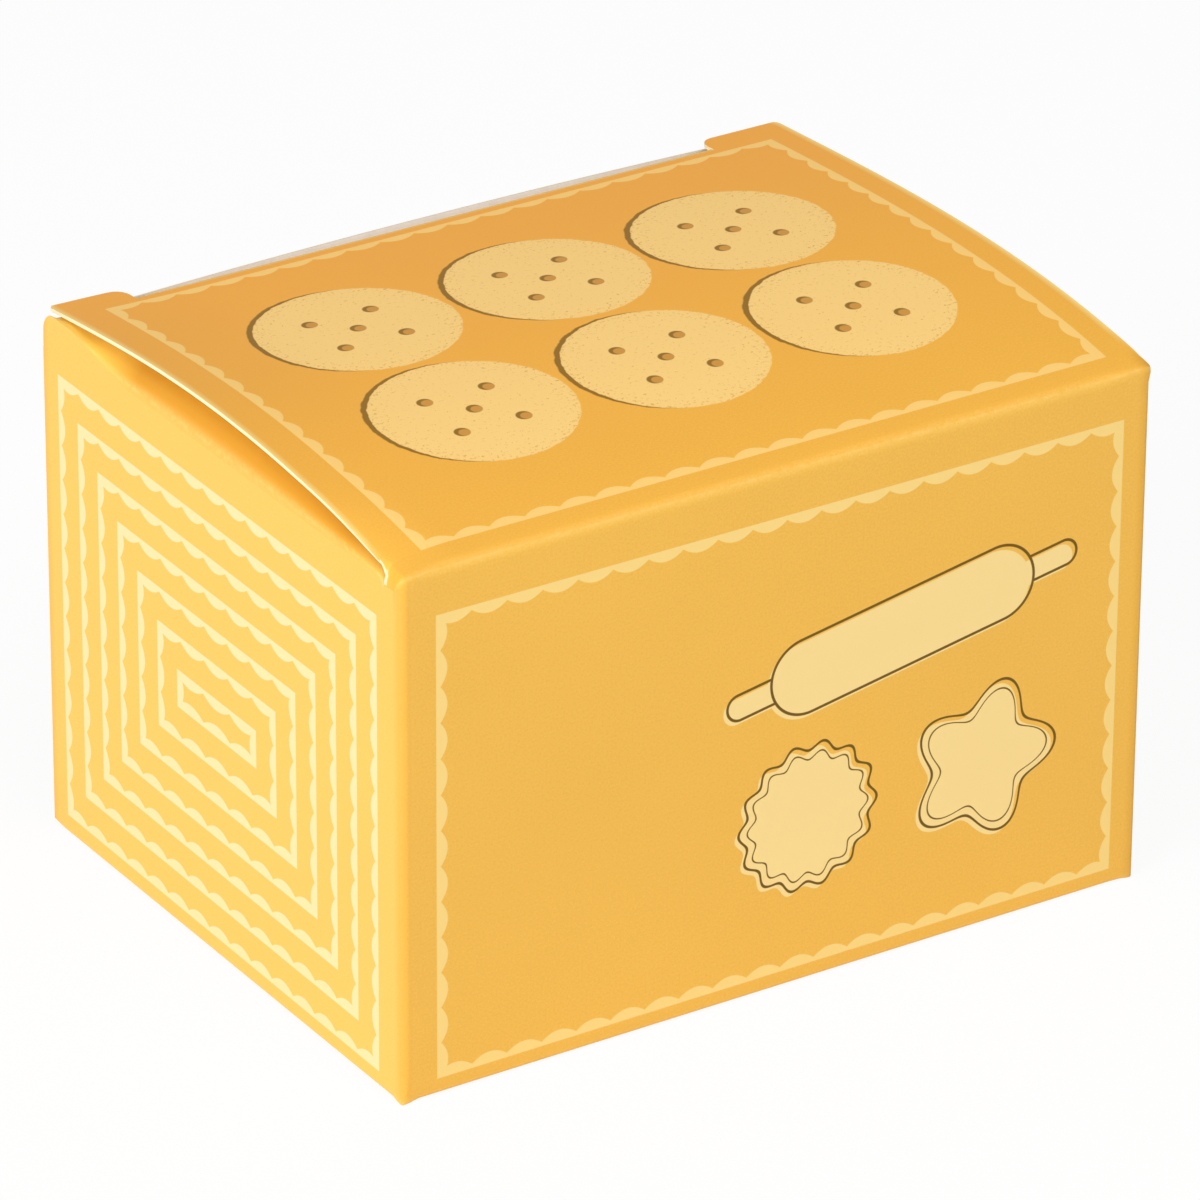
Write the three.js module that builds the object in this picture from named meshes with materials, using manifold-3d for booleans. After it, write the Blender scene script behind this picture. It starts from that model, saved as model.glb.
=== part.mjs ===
// A biscuit cutter in its carton. The carton is folded from thin board: four walls, a
// glued base and a lid that is hinged along the front and tucks in at the back. Inside
// stands a steel cutter with a fluted wall, a bridge plate across its top, and a knob that
// pushes a sprung ejector plate with docking pins down through the wall.
// Millimetres, +Z up. The origin is the middle of the carton's base, +X runs along the
// carton's long side, and its front panel faces -Y.

import * as THREE from 'three';
import { mergeVertices } from 'three/addons/utils/BufferGeometryUtils.js';
import Module from 'manifold-3d';

// Fluted cutting wall, measured over its lobes
const cutterLength = 72;
const cutterWidth = 55;
const wallHeight = 26;
const wallThickness = 0.5;
const lobeRadius = 6.2;
const lobesAlong = 8; // on a long side, both corner lobes counted
const lobesAcross = 6; // on a short side, both corner lobes counted
const rimOverhang = 0.8; // how far the rolled rim stands out from the wall
const rimHeight = 1.6;

// Bridge plate with its two folded flanges
const plateThickness = 0.8;
const plateChamfer = 8;
const flangeDrop = 7; // from the plate's top to the flange's lower edge
const flangeTaper = 6.5; // how much shorter the flange's lower edge is at each end
const flangeFit = 0.3; // between the rim and the inside of the flange

// Plunger: knob, rod, spring and stop collar
const knobDiameter = 14;
const knobHeight = 13.8;
const knobDome = 2.4;
const knobEdgeRadius = 0.8;
const knobBoreDepth = 8;
const rodDiameter = 4;
const rodClearance = 0.4; // round the rod in the bridge plate's hole
const springLength = 12; // from the plate to the knob, at rest
const springTurns = 5.5;
const springWire = 0.9;
const springClearance = 0.95; // between the rod and the inside of the spring
const collarThickness = 1.2;
const collarWall = 2.2;

// Ejector plate with its docking pins
const ejectorThickness = 0.8;
const ejectorClearance = 0.5; // between the plate's edge and the wall
const cutDepth = 9.5; // from the cutting edge up to the ejector plate, at rest
const pinDiameter = 1.6;
const pinLength = 3.5; // below the ejector plate
const pinTaper = 1.6; // length of a pin's point
const pinHeadDiameter = 3.4;
const pinHeadHeight = 0.9;
const outerPinReach = 20; // the two pins on the long axis
const innerPinReachX = 10; // the four pins beside it
const innerPinReachY = 10.5;
const clipThickness = 0.5;
const clipWall = 2.4;

// Carton board, and the room it leaves round the cutter
const boardThickness = 0.4;
const endRoom = 4.8;
const sideRoom = 3.2;
const headRoom = 1.2;
const lidInset = 0.6; // how far the lid's cut edges stand in from the end panels
const lidBow = 3.2; // how high the lid arches over its chord
const lidBowSkew = 0.82; // below 1 moves the arch's crown towards the front fold
const lidCreaseDrop = 1; // the front fold's depth below the carton's height
const lidBackRise = 1.6; // the lid's rise from the front fold to the back
const earLength = 8; // tabs at the lid's back corners that lie on the back panel
const tuckDepth = 14;
const tuckTilt = THREE.MathUtils.degToRad(8);
const tuckCorner = 4;
const tuckEndGap = 0.8; // between the tuck flap's ends and the ears
const dustFlapReach = 24;
const dustFlapFrontSetback = 8.5; // clear of the lid's fold
const dustFlapFrontTaper = 5.5;
const dustFlapBackSetback = 3.5; // clear of the tuck flap
const dustFlapBackTaper = 4;
const dustFlapDrop = 0.3; // below the underside of a flat lid
const baseFlapReach = 30;
const baseFlapTaper = 6;
const glueTabWidth = 12;
const glueTabTaper = 3;
const glueTabTopGap = 6;

// Gaps between pieces
const seatGap = 0.1; // pieces that are fixed or rest on each other
const foldGap = 0.6; // boards on the two sides of a fold that turns

// How finely round shapes are divided
const lobeSteps = 4;
const cornerLobeSteps = 10;
const turnedSteps = 24;
const pinSteps = 10;
const domeSteps = 5;
const lidSteps = 14;
const curlSteps = 8;
const wireSides = 5;
const tuckCornerSteps = 3;
const weldDistance = 1e-3; // points closer than this are one point

// Sizes that follow from the ones above
const standHeight = 3 * boardThickness + 3 * seatGap;
const rimHalfLength = cutterLength / 2 + rimOverhang;
const rimHalfWidth = cutterWidth / 2 + rimOverhang;
const plateHalfLength = rimHalfLength;
const plateHalfWidth = rimHalfWidth + flangeFit + plateThickness;
const cartonLength = 2 * (plateHalfLength + endRoom + boardThickness);
const cartonDepth = 2 * (plateHalfWidth + sideRoom + boardThickness);
const wallTop = standHeight + wallHeight;
const plateBottom = wallTop + seatGap;
const plateTop = plateBottom + plateThickness;
const knobBottom = plateTop + springLength;
const knobTop = knobBottom + knobHeight;
const cartonHeight = knobTop + headRoom;
const rodRadius = rodDiameter / 2;
const pinRadius = pinDiameter / 2;
const ejectorBottom = standHeight + cutDepth;
const ejectorTop = ejectorBottom + ejectorThickness;
const pinTip = ejectorBottom - pinLength;
const cartonFront = -cartonDepth / 2;
const cartonBack = cartonDepth / 2;
const cartonEnd = cartonLength / 2;
const lidHingeHeight = cartonHeight - boardThickness - lidCreaseDrop;
const dustFlapHeight = cartonHeight - 2 * boardThickness - dustFlapDrop;
const lidHalfLength = cartonEnd - lidInset;
const tuckHingeDistance = cartonDepth - boardThickness - foldGap;

// Finishes
const printedBoard = { color: 0xf1bb58, roughness: 0.55, metalness: 0 };
const plainBoard = { color: 0xefeae0, roughness: 0.85, metalness: 0 };
const sheetSteel = { color: 0xc9ccd0, roughness: 0.3, metalness: 1 };
const turnedSteel = { color: 0xd4d6d9, roughness: 0.2, metalness: 1 };
const springSteel = { color: 0xb4b7bc, roughness: 0.35, metalness: 1 };

const wasm = await Module();
wasm.setup();

// Joins closed geometries into one.
function join(...geometries) {
  const solids = geometries.map((geometry) => {
    const bare = geometry.clone();
    bare.deleteAttribute('normal');
    bare.deleteAttribute('uv');
    const merged = mergeVertices(bare, weldDistance);
    const vertProperties = new Float32Array(merged.attributes.position.array);
    const triVerts = new Uint32Array(merged.index.array);
    return new wasm.Manifold(new wasm.Mesh({ numProp: 3, vertProperties, triVerts }));
  });
  const mesh = solids.reduce((whole, solid) => whole.add(solid)).getMesh();
  const joined = new THREE.BufferGeometry();
  joined.setAttribute('position', new THREE.BufferAttribute(mesh.vertProperties, 3));
  joined.setIndex(new THREE.BufferAttribute(mesh.triVerts, 1));
  joined.computeVertexNormals();
  return joined;
}

function piece(name, geometry, finish) {
  const mesh = new THREE.Mesh(geometry, new THREE.MeshStandardMaterial(finish));
  mesh.name = name;
  return mesh;
}

// A box from its lowest and highest corners.
function block(low, high) {
  const size = high.map((value, axis) => value - low[axis]);
  const middle = high.map((value, axis) => (value + low[axis]) / 2);
  return new THREE.BoxGeometry(...size).translate(...middle);
}

// A flat outline given as [x, y] points, extruded upwards from a height.
function slab(points, bottom, thickness, holes = []) {
  const shape = new THREE.Shape(points.map(([x, y]) => new THREE.Vector2(x, y)));
  for (const { x, y, radius, steps } of holes) {
    const hole = new THREE.Path();
    hole.setFromPoints(ringPoints(x, y, radius, steps));
    shape.holes.push(hole);
  }
  return extrude(shape, thickness).translate(0, 0, bottom);
}

function extrude(shape, depth) {
  return new THREE.ExtrudeGeometry(shape, { depth, bevelEnabled: false });
}

function ringPoints(x, y, radius, steps) {
  return Array.from({ length: steps }, (_, step) => {
    const angle = (2 * Math.PI * step) / steps;
    return new THREE.Vector2(x + radius * Math.cos(angle), y + radius * Math.sin(angle));
  });
}

// An outline of [y, z] points in the carton's side view, extruded along X between two places.
function sideProfile(points, from, to) {
  const shape = new THREE.Shape(points.map(([y, z]) => new THREE.Vector2(y, z)));
  const turn = new THREE.Matrix4().makeBasis(
    new THREE.Vector3(0, 1, 0),
    new THREE.Vector3(0, 0, 1),
    new THREE.Vector3(1, 0, 0),
  );
  return extrude(shape, to - from).applyMatrix4(turn).translate(from, 0, 0);
}

// A turned piece from [radius, height] points that run up its outside.
function turned(points, steps) {
  const profile = points.map(([radius, height]) => new THREE.Vector2(radius, height));
  return new THREE.LatheGeometry(profile, steps).rotateX(Math.PI / 2);
}

// Cutting wall

// The scalloped outline: round lobes set along a rectangle, drawn inset from the outer skin.
function scallopOutline(inset) {
  const radius = lobeRadius - inset;
  const halfX = cutterLength / 2 - lobeRadius;
  const halfY = cutterWidth / 2 - lobeRadius;
  const sides = [
    { from: [-halfX, -halfY], to: [halfX, -halfY], outward: -Math.PI / 2, lobes: lobesAlong },
    { from: [halfX, -halfY], to: [halfX, halfY], outward: 0, lobes: lobesAcross },
    { from: [halfX, halfY], to: [-halfX, halfY], outward: Math.PI / 2, lobes: lobesAlong },
    { from: [-halfX, halfY], to: [-halfX, -halfY], outward: Math.PI, lobes: lobesAcross },
  ];
  for (const side of sides) {
    const span = Math.hypot(side.to[0] - side.from[0], side.to[1] - side.from[1]);
    const halfPitch = span / (side.lobes - 1) / 2;
    side.halfAngle = Math.asin(Math.min(1, halfPitch / radius));
  }
  const points = [];
  const addArc = (centre, start, end, steps) => {
    for (let step = 0; step <= steps; step++) {
      const angle = start + ((end - start) * step) / steps;
      const point = [centre[0] + radius * Math.cos(angle), centre[1] + radius * Math.sin(angle)];
      const last = points.at(-1);
      const isNew = !last || Math.hypot(point[0] - last[0], point[1] - last[1]) > weldDistance;
      if (isNew) points.push(point);
    }
  };
  sides.forEach((side, index) => {
    const next = sides[(index + 1) % sides.length];
    for (let lobe = 1; lobe < side.lobes - 1; lobe++) {
      const share = lobe / (side.lobes - 1);
      const centre = side.from.map((value, axis) => value + (side.to[axis] - value) * share);
      addArc(centre, side.outward - side.halfAngle, side.outward + side.halfAngle, lobeSteps);
    }
    const cornerEnd = side.outward + Math.PI / 2 + next.halfAngle;
    addArc(side.to, side.outward - side.halfAngle, cornerEnd, cornerLobeSteps);
  });
  const [first, last] = [points[0], points.at(-1)];
  if (Math.hypot(first[0] - last[0], first[1] - last[1]) < weldDistance) points.pop();
  return points;
}

function scallopRing(outerInset, innerInset, bottom, height) {
  const shape = new THREE.Shape(scallopOutline(outerInset).map(([x, y]) => new THREE.Vector2(x, y)));
  const hole = new THREE.Path();
  hole.setFromPoints(scallopOutline(innerInset).map(([x, y]) => new THREE.Vector2(x, y)));
  shape.holes.push(hole);
  return extrude(shape, height).translate(0, 0, bottom);
}

function cutterWall() {
  const wall = scallopRing(0, wallThickness, standHeight, wallHeight);
  const rim = scallopRing(-rimOverhang, wallThickness / 2, wallTop - rimHeight, rimHeight);
  return piece('cutter_wall', join(wall, rim), sheetSteel);
}

// Bridge plate

function bridgePlate() {
  const shortHalfLength = plateHalfLength - plateChamfer;
  const shortHalfWidth = plateHalfWidth - plateChamfer;
  const octagon = [
    [-shortHalfLength, -plateHalfWidth],
    [shortHalfLength, -plateHalfWidth],
    [plateHalfLength, -shortHalfWidth],
    [plateHalfLength, shortHalfWidth],
    [shortHalfLength, plateHalfWidth],
    [-shortHalfLength, plateHalfWidth],
    [-plateHalfLength, shortHalfWidth],
    [-plateHalfLength, -shortHalfWidth],
  ];
  const rodHole = { x: 0, y: 0, radius: rodRadius + rodClearance, steps: turnedSteps };
  const plate = slab(octagon, plateBottom, plateThickness, [rodHole]);
  const flangeHalfLength = shortHalfLength - flangeTaper;
  const flangeShape = new THREE.Shape([
    new THREE.Vector2(-flangeHalfLength, plateTop - flangeDrop),
    new THREE.Vector2(flangeHalfLength, plateTop - flangeDrop),
    new THREE.Vector2(shortHalfLength, plateTop),
    new THREE.Vector2(-shortHalfLength, plateTop),
  ]);
  const flange = extrude(flangeShape, plateThickness).rotateX(Math.PI / 2);
  const frontFlange = flange.clone().translate(0, plateThickness - plateHalfWidth, 0);
  const backFlange = flange.clone().translate(0, plateHalfWidth, 0);
  return piece('bridge_plate', join(plate, frontFlange, backFlange), sheetSteel);
}

// Plunger

function knob() {
  const radius = knobDiameter / 2;
  const boreRadius = rodRadius + seatGap;
  const shoulder = knobTop - knobDome;
  const points = [
    [0, knobBottom + knobBoreDepth],
    [boreRadius, knobBottom + knobBoreDepth],
    [boreRadius, knobBottom],
    [radius - knobEdgeRadius, knobBottom],
    [radius, knobBottom + knobEdgeRadius],
  ];
  for (let step = 0; step <= domeSteps; step++) {
    const angle = (Math.PI / 2) * (step / domeSteps);
    const reach = step === domeSteps ? 0 : radius * Math.cos(angle);
    points.push([reach, shoulder + knobDome * Math.sin(angle)]);
  }
  return piece('knob', turned(points, turnedSteps), turnedSteel);
}

// The rod steps down to a spigot that carries the ejector plate and ends in the middle pin.
function plungerRod() {
  const shoulder = ejectorTop + seatGap;
  const points = [
    [0, pinTip],
    [pinRadius, pinTip + pinTaper],
    [pinRadius, shoulder],
    [rodRadius, shoulder],
    [rodRadius, knobBottom + knobBoreDepth - seatGap],
    [0, knobBottom + knobBoreDepth - seatGap],
  ];
  return piece('plunger_rod', turned(points, turnedSteps), turnedSteel);
}

// A flat ring round the rod or its spigot.
function ring(name, innerRadius, wall, bottom, thickness, finish) {
  const outerRadius = innerRadius + wall;
  const points = [
    [innerRadius, bottom],
    [outerRadius, bottom],
    [outerRadius, bottom + thickness],
    [innerRadius, bottom + thickness],
    [innerRadius, bottom],
  ];
  return piece(name, turned(points, turnedSteps), finish);
}

function stopCollar() {
  const bottom = plateBottom - seatGap - collarThickness;
  return ring('stop_collar', rodRadius + seatGap, collarWall, bottom, collarThickness, turnedSteel);
}

function ejectorClip() {
  const bottom = ejectorBottom - seatGap - clipThickness;
  return ring('ejector_clip', pinRadius + seatGap, clipWall, bottom, clipThickness, springSteel);
}

// Ejector plate and docking pins

const pinPlaces = [
  [-outerPinReach, 0],
  [-innerPinReachX, -innerPinReachY],
  [innerPinReachX, -innerPinReachY],
  [outerPinReach, 0],
  [innerPinReachX, innerPinReachY],
  [-innerPinReachX, innerPinReachY],
];

function ejectorPlate() {
  const holeRadius = pinRadius + seatGap;
  const holes = [[0, 0], ...pinPlaces].map(([x, y]) => {
    return { x, y, radius: holeRadius, steps: turnedSteps };
  });
  const outline = scallopOutline(wallThickness + ejectorClearance);
  return piece('ejector_plate', slab(outline, ejectorBottom, ejectorThickness, holes), sheetSteel);
}

function dockingPins() {
  const headBottom = ejectorTop + seatGap;
  const points = [
    [0, pinTip],
    [pinRadius, pinTip + pinTaper],
    [pinRadius, headBottom],
    [pinHeadDiameter / 2, headBottom],
    [pinHeadDiameter / 4, headBottom + pinHeadHeight],
    [0, headBottom + pinHeadHeight],
  ];
  return pinPlaces.map(([x, y], index) => {
    const pin = piece(`docking_pin_${index + 1}`, turned(points, pinSteps), turnedSteel);
    pin.position.set(x, y, 0);
    return pin;
  });
}

// Spring

// The middle of the wire: level straight ends, one wire thick, with a steady helix between.
function springPath() {
  const radius = rodRadius + springClearance + springWire / 2;
  const bottom = plateTop + seatGap + springWire / 2;
  const rise = springLength - 2 * seatGap - springWire;
  const steps = springTurns * curlSteps;
  const path = [];
  for (let step = 0; step <= steps; step++) {
    const angle = (2 * Math.PI * step) / curlSteps;
    const height = bottom + (rise * step) / steps;
    path.push(new THREE.Vector3(radius * Math.cos(angle), radius * Math.sin(angle), height));
  }
  const levelRun = (end, beyond) => {
    const along = new THREE.Vector3().subVectors(end, beyond).setZ(0).normalize();
    return end.clone().addScaledVector(along, springWire);
  };
  const start = levelRun(path[0], path[1]);
  const finish = levelRun(path.at(-1), path.at(-2));
  return [start, ...path, finish];
}

// Least distance between the wire's surface and itself, over points half a turn or more apart.
function leastSelfGap(path) {
  let least = Infinity;
  for (let first = 0; first < path.length; first++) {
    for (let second = first + curlSteps / 2; second < path.length; second++) {
      least = Math.min(least, path[first].distanceTo(path[second]) - springWire);
    }
  }
  return least;
}

function ejectorSpring() {
  const path = springPath();
  console.log(`ejector_spring: least gap to itself ${leastSelfGap(path).toFixed(2)} mm`);
  const up = new THREE.Vector3(0, 0, 1);
  const positions = [];
  path.forEach((point, index) => {
    const before = path[Math.max(0, index - 1)];
    const after = path[Math.min(path.length - 1, index + 1)];
    const along = new THREE.Vector3().subVectors(after, before).normalize();
    const across = new THREE.Vector3().crossVectors(along, up).normalize();
    const upright = new THREE.Vector3().crossVectors(across, along);
    for (let side = 0; side < wireSides; side++) {
      const angle = (2 * Math.PI * side) / wireSides + Math.PI / 2;
      const skin = point.clone();
      skin.addScaledVector(across, (springWire / 2) * Math.cos(angle));
      skin.addScaledVector(upright, (springWire / 2) * Math.sin(angle));
      positions.push(skin.x, skin.y, skin.z);
    }
  });
  const triangles = [];
  for (let index = 0; index + 1 < path.length; index++) {
    for (let side = 0; side < wireSides; side++) {
      const near = index * wireSides + side;
      const nearNext = index * wireSides + ((side + 1) % wireSides);
      const far = near + wireSides;
      const farNext = nearNext + wireSides;
      triangles.push(near, farNext, nearNext, near, far, farNext);
    }
  }
  const lastRing = (path.length - 1) * wireSides;
  for (let side = 1; side + 1 < wireSides; side++) {
    triangles.push(0, side, side + 1);
    triangles.push(lastRing, lastRing + side + 1, lastRing + side);
  }
  const geometry = new THREE.BufferGeometry();
  geometry.setAttribute('position', new THREE.Float32BufferAttribute(positions, 3));
  geometry.setIndex(triangles);
  geometry.computeVertexNormals();
  return piece('ejector_spring', geometry, springSteel);
}

// Carton walls and base

function cartonWalls() {
  const innerFront = cartonFront + boardThickness;
  const innerBack = cartonBack - boardThickness;
  const innerEnd = cartonEnd - boardThickness;
  const frontTop = lidHingeHeight - foldGap;
  const endTop = dustFlapHeight - foldGap;
  const front = block([-cartonEnd, cartonFront, 0], [cartonEnd, innerFront, frontTop]);
  const back = block([-cartonEnd, innerBack, 0], [cartonEnd, cartonBack, cartonHeight]);
  const endLow = [-cartonEnd, innerFront + seatGap, 0];
  const end = block(endLow, [-innerEnd, innerBack - seatGap, endTop]);
  return [
    piece('front_panel', front, printedBoard),
    piece('back_panel', back, printedBoard),
    piece('left_end_panel', end, printedBoard),
    piece('right_end_panel', end.clone().translate(cartonEnd + innerEnd, 0, 0), printedBoard),
  ];
}

// The tab that runs up the inside of the right end panel and closes the walls into a tube.
function glueTab() {
  const back = cartonBack - boardThickness - seatGap;
  const top = cartonHeight - glueTabTopGap;
  const outline = [
    [back - glueTabWidth, standHeight + glueTabTaper],
    [back, standHeight],
    [back, top],
    [back - glueTabWidth, top - glueTabTaper],
  ];
  const outside = cartonEnd - boardThickness - seatGap;
  return piece('glue_tab', sideProfile(outline, outside - boardThickness, outside), plainBoard);
}

// Outer and inner base panels, glued flat, over two flaps folded in from the ends.
function cartonBase() {
  const halfLength = cartonEnd - boardThickness - seatGap;
  const halfDepth = cartonDepth / 2 - boardThickness - seatGap;
  const layer = boardThickness + seatGap;
  const sheet = block([-halfLength, -halfDepth, 0], [halfLength, halfDepth, boardThickness]);
  const flapOutline = [
    [-halfLength, -halfDepth],
    [baseFlapReach - halfLength, baseFlapTaper - halfDepth],
    [baseFlapReach - halfLength, halfDepth - baseFlapTaper],
    [-halfLength, halfDepth],
  ];
  const mirrored = flapOutline.map(([x, y]) => [-x, y]).reverse();
  return [
    piece('base_panel', sheet, printedBoard),
    piece('base_inner_panel', sheet.clone().translate(0, 0, layer), plainBoard),
    piece('base_flap_left', slab(flapOutline, 2 * layer, boardThickness), plainBoard),
    piece('base_flap_right', slab(mirrored, 2 * layer, boardThickness), plainBoard),
  ];
}

// Lid

// Height of the lid's underside above its hinge, at a distance behind it.
function lidRise(distance) {
  const share = distance / cartonDepth;
  return lidBackRise * share + lidBow * Math.sin(Math.PI * share ** lidBowSkew);
}

// The lid's side view at some distances from its hinge: its underside, then its top.
function lidProfile(distances) {
  const underside = distances.map((distance) => {
    return [cartonFront + distance, lidHingeHeight + lidRise(distance)];
  });
  const top = underside.map(([y, z]) => [y, z + boardThickness]).reverse();
  return [...underside, ...top];
}

function lidPanel() {
  const backEdge = tuckHingeDistance - foldGap;
  const distances = Array.from({ length: lidSteps + 1 }, (_, step) => {
    return foldGap + ((backEdge - foldGap) * step) / lidSteps;
  });
  const sheet = sideProfile(lidProfile(distances), -lidHalfLength, lidHalfLength);
  const earProfile = lidProfile([...distances.slice(-2), cartonDepth]);
  const leftEar = sideProfile(earProfile, -lidHalfLength, earLength - lidHalfLength);
  const rightEar = sideProfile(earProfile, lidHalfLength - earLength, lidHalfLength);
  return piece('lid_panel', join(sheet, leftEar, rightEar), printedBoard);
}

// The flap that slides in behind the back panel, with round lower corners.
function lidTuckFlap() {
  const halfLength = lidHalfLength - earLength - tuckEndGap;
  const shape = new THREE.Shape();
  shape.moveTo(-halfLength, -foldGap);
  shape.lineTo(-halfLength, tuckCorner - tuckDepth);
  shape.absarc(tuckCorner - halfLength, tuckCorner - tuckDepth, tuckCorner, Math.PI, 1.5 * Math.PI);
  shape.absarc(halfLength - tuckCorner, tuckCorner - tuckDepth, tuckCorner, -Math.PI / 2, 0);
  shape.lineTo(halfLength, -foldGap);
  const settings = { depth: boardThickness, bevelEnabled: false, curveSegments: tuckCornerSteps };
  const flap = new THREE.ExtrudeGeometry(shape, settings).rotateX(Math.PI / 2);
  const mesh = piece('lid_tuck_flap', flap, printedBoard);
  mesh.rotation.x = -tuckTilt;
  const hingeHeight = lidHingeHeight + lidRise(tuckHingeDistance);
  mesh.position.set(0, cartonFront + tuckHingeDistance, hingeHeight);
  return mesh;
}

// Flaps folded in from the end panels under the lid.
function lidDustFlaps() {
  const outer = foldGap - cartonEnd;
  const tip = dustFlapReach - cartonEnd;
  const front = cartonFront + dustFlapFrontSetback;
  const back = cartonBack - dustFlapBackSetback;
  const outline = [
    [outer, front],
    [tip, front + dustFlapFrontTaper],
    [tip, back - dustFlapBackTaper],
    [outer, back],
  ];
  const mirrored = outline.map(([x, y]) => [-x, y]).reverse();
  return [
    piece('lid_dust_flap_left', slab(outline, dustFlapHeight, boardThickness), printedBoard),
    piece('lid_dust_flap_right', slab(mirrored, dustFlapHeight, boardThickness), printedBoard),
  ];
}

const carton = new THREE.Group();
carton.add(...cartonWalls(), glueTab(), ...cartonBase());
carton.add(lidPanel(), lidTuckFlap(), ...lidDustFlaps());

const cutter = new THREE.Group();
cutter.add(cutterWall(), bridgePlate(), ejectorSpring());
cutter.add(knob(), plungerRod(), stopCollar());
cutter.add(ejectorPlate(), ejectorClip(), ...dockingPins());

const boxedCutter = new THREE.Group();
boxedCutter.add(carton, cutter);

export default boxedCutter;
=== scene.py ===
"""Boxed biscuit cutter: a folded board carton with a hinged lid, and the sprung steel cutter inside it."""
import math

import bpy
import numpy as np
from mathutils import Matrix, Vector


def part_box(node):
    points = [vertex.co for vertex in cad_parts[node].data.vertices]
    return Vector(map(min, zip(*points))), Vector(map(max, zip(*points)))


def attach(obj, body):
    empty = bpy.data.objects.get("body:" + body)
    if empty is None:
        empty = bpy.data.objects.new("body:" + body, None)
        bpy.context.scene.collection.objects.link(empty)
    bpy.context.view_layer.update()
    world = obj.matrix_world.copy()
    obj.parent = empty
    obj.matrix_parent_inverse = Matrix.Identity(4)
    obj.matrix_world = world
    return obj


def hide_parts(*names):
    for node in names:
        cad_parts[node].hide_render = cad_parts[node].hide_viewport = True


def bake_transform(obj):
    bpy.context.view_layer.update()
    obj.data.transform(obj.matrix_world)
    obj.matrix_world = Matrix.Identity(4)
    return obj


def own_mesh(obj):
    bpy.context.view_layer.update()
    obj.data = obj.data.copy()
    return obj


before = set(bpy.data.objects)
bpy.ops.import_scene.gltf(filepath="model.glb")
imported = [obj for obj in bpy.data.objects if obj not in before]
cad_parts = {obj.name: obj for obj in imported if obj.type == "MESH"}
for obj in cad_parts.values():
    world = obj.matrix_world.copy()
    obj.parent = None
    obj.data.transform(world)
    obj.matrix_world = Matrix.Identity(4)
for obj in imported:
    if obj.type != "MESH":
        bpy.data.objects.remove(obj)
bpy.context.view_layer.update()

bl_info = {
    "name": "Boxed biscuit cutter",
    "version": (1, 0, 0),
    "blender": (4, 5, 0),
    "location": "View3D > Sidebar > Boxed cutter",
    "description": "Makes a printed board carton and the fluted steel cutter that stands in it",
    "category": "Add Mesh",
}

MM = 0.001
FLAT_MAP = "flat"
# A quarter turn, in radians.
QUARTER = math.pi / 2

wall_low, wall_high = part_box("front_panel")
knob_low, knob_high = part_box("knob")

# The carton's outside, in millimetres. The front faces -Y.
HALF_LENGTH = 42.0
HALF_DEPTH = 33.0
HEIGHT = 55.4

# The print is laid out on the unfolded sheet, from the front's middle. The back lies past the left end.
BACK_CREASE = HALF_LENGTH + 2 * HALF_DEPTH
SHEET_START = -BACK_CREASE - 2 * HALF_LENGTH
END_MIDDLE = HALF_LENGTH + HALF_DEPTH
CREASES = np.array([SHEET_START, -BACK_CREASE, -HALF_LENGTH, HALF_LENGTH, BACK_CREASE])
WALL_PRINTS = ("print_back", "print_left_end", "print_front", "print_right_end")
BACK = WALL_PRINTS.index("print_back")
RIGHT_END = WALL_PRINTS.index("print_right_end")

# Lowest point of the base fold at each crease, and along each panel.
CREASE_LEVELS = np.array([0.1, 0.5, 0.0, 0.08, 0.3])
PANEL_LEVELS = np.array([0.04, 0.12, 0.16, 0.12])

# Radius of the back panel's bend into the glue tab.
TAB_BEND = 0.5

# Heights at which the walls meet the lid's sheet along the front, and the dust flaps' sheets along the ends.
FRONT_SEAM = 52.8
END_SEAM = 52.2

# Distances behind the front at which the lid's crease, the cut beside the lid and the lid itself end.
CREASE_END = 1.15
SLIT_END = 2.7
LID_BACK = 62.9

# How far the lid's left edge lies in from the end panel, and how far it drops where its cut ends.
LID_INSET = 0.36
TIP_DROP = 1.7

# How wide a cut in the board is, and how far the right end panel and its flap stop before the back.
CUT_WIDTH = 0.02
BACK_GAP = 0.1

# Heights of the bridge plate's top and the knob's underside. The spring stands between them.
PLATE_TOP = 28.4
KNOB_BASE = 40.4

# Differences between two places that count as none.
HAIR = 0.01
TINY = 1e-6


def length(name, text, default):
    """A size in metres."""
    return bpy.props.FloatProperty(
        name=name, description=text, default=default, min=0.0, precision=5, subtype="DISTANCE", unit="LENGTH"
    )


def number(name, text, default, least=0.0):
    """A plain number."""
    return bpy.props.FloatProperty(name=name, description=text, default=default, min=least)


def colour(name, text, default):
    """A linear colour."""
    return bpy.props.FloatVectorProperty(
        name=name, description=text, default=default, min=0.0, max=1.0, size=3, subtype="COLOR"
    )


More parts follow.
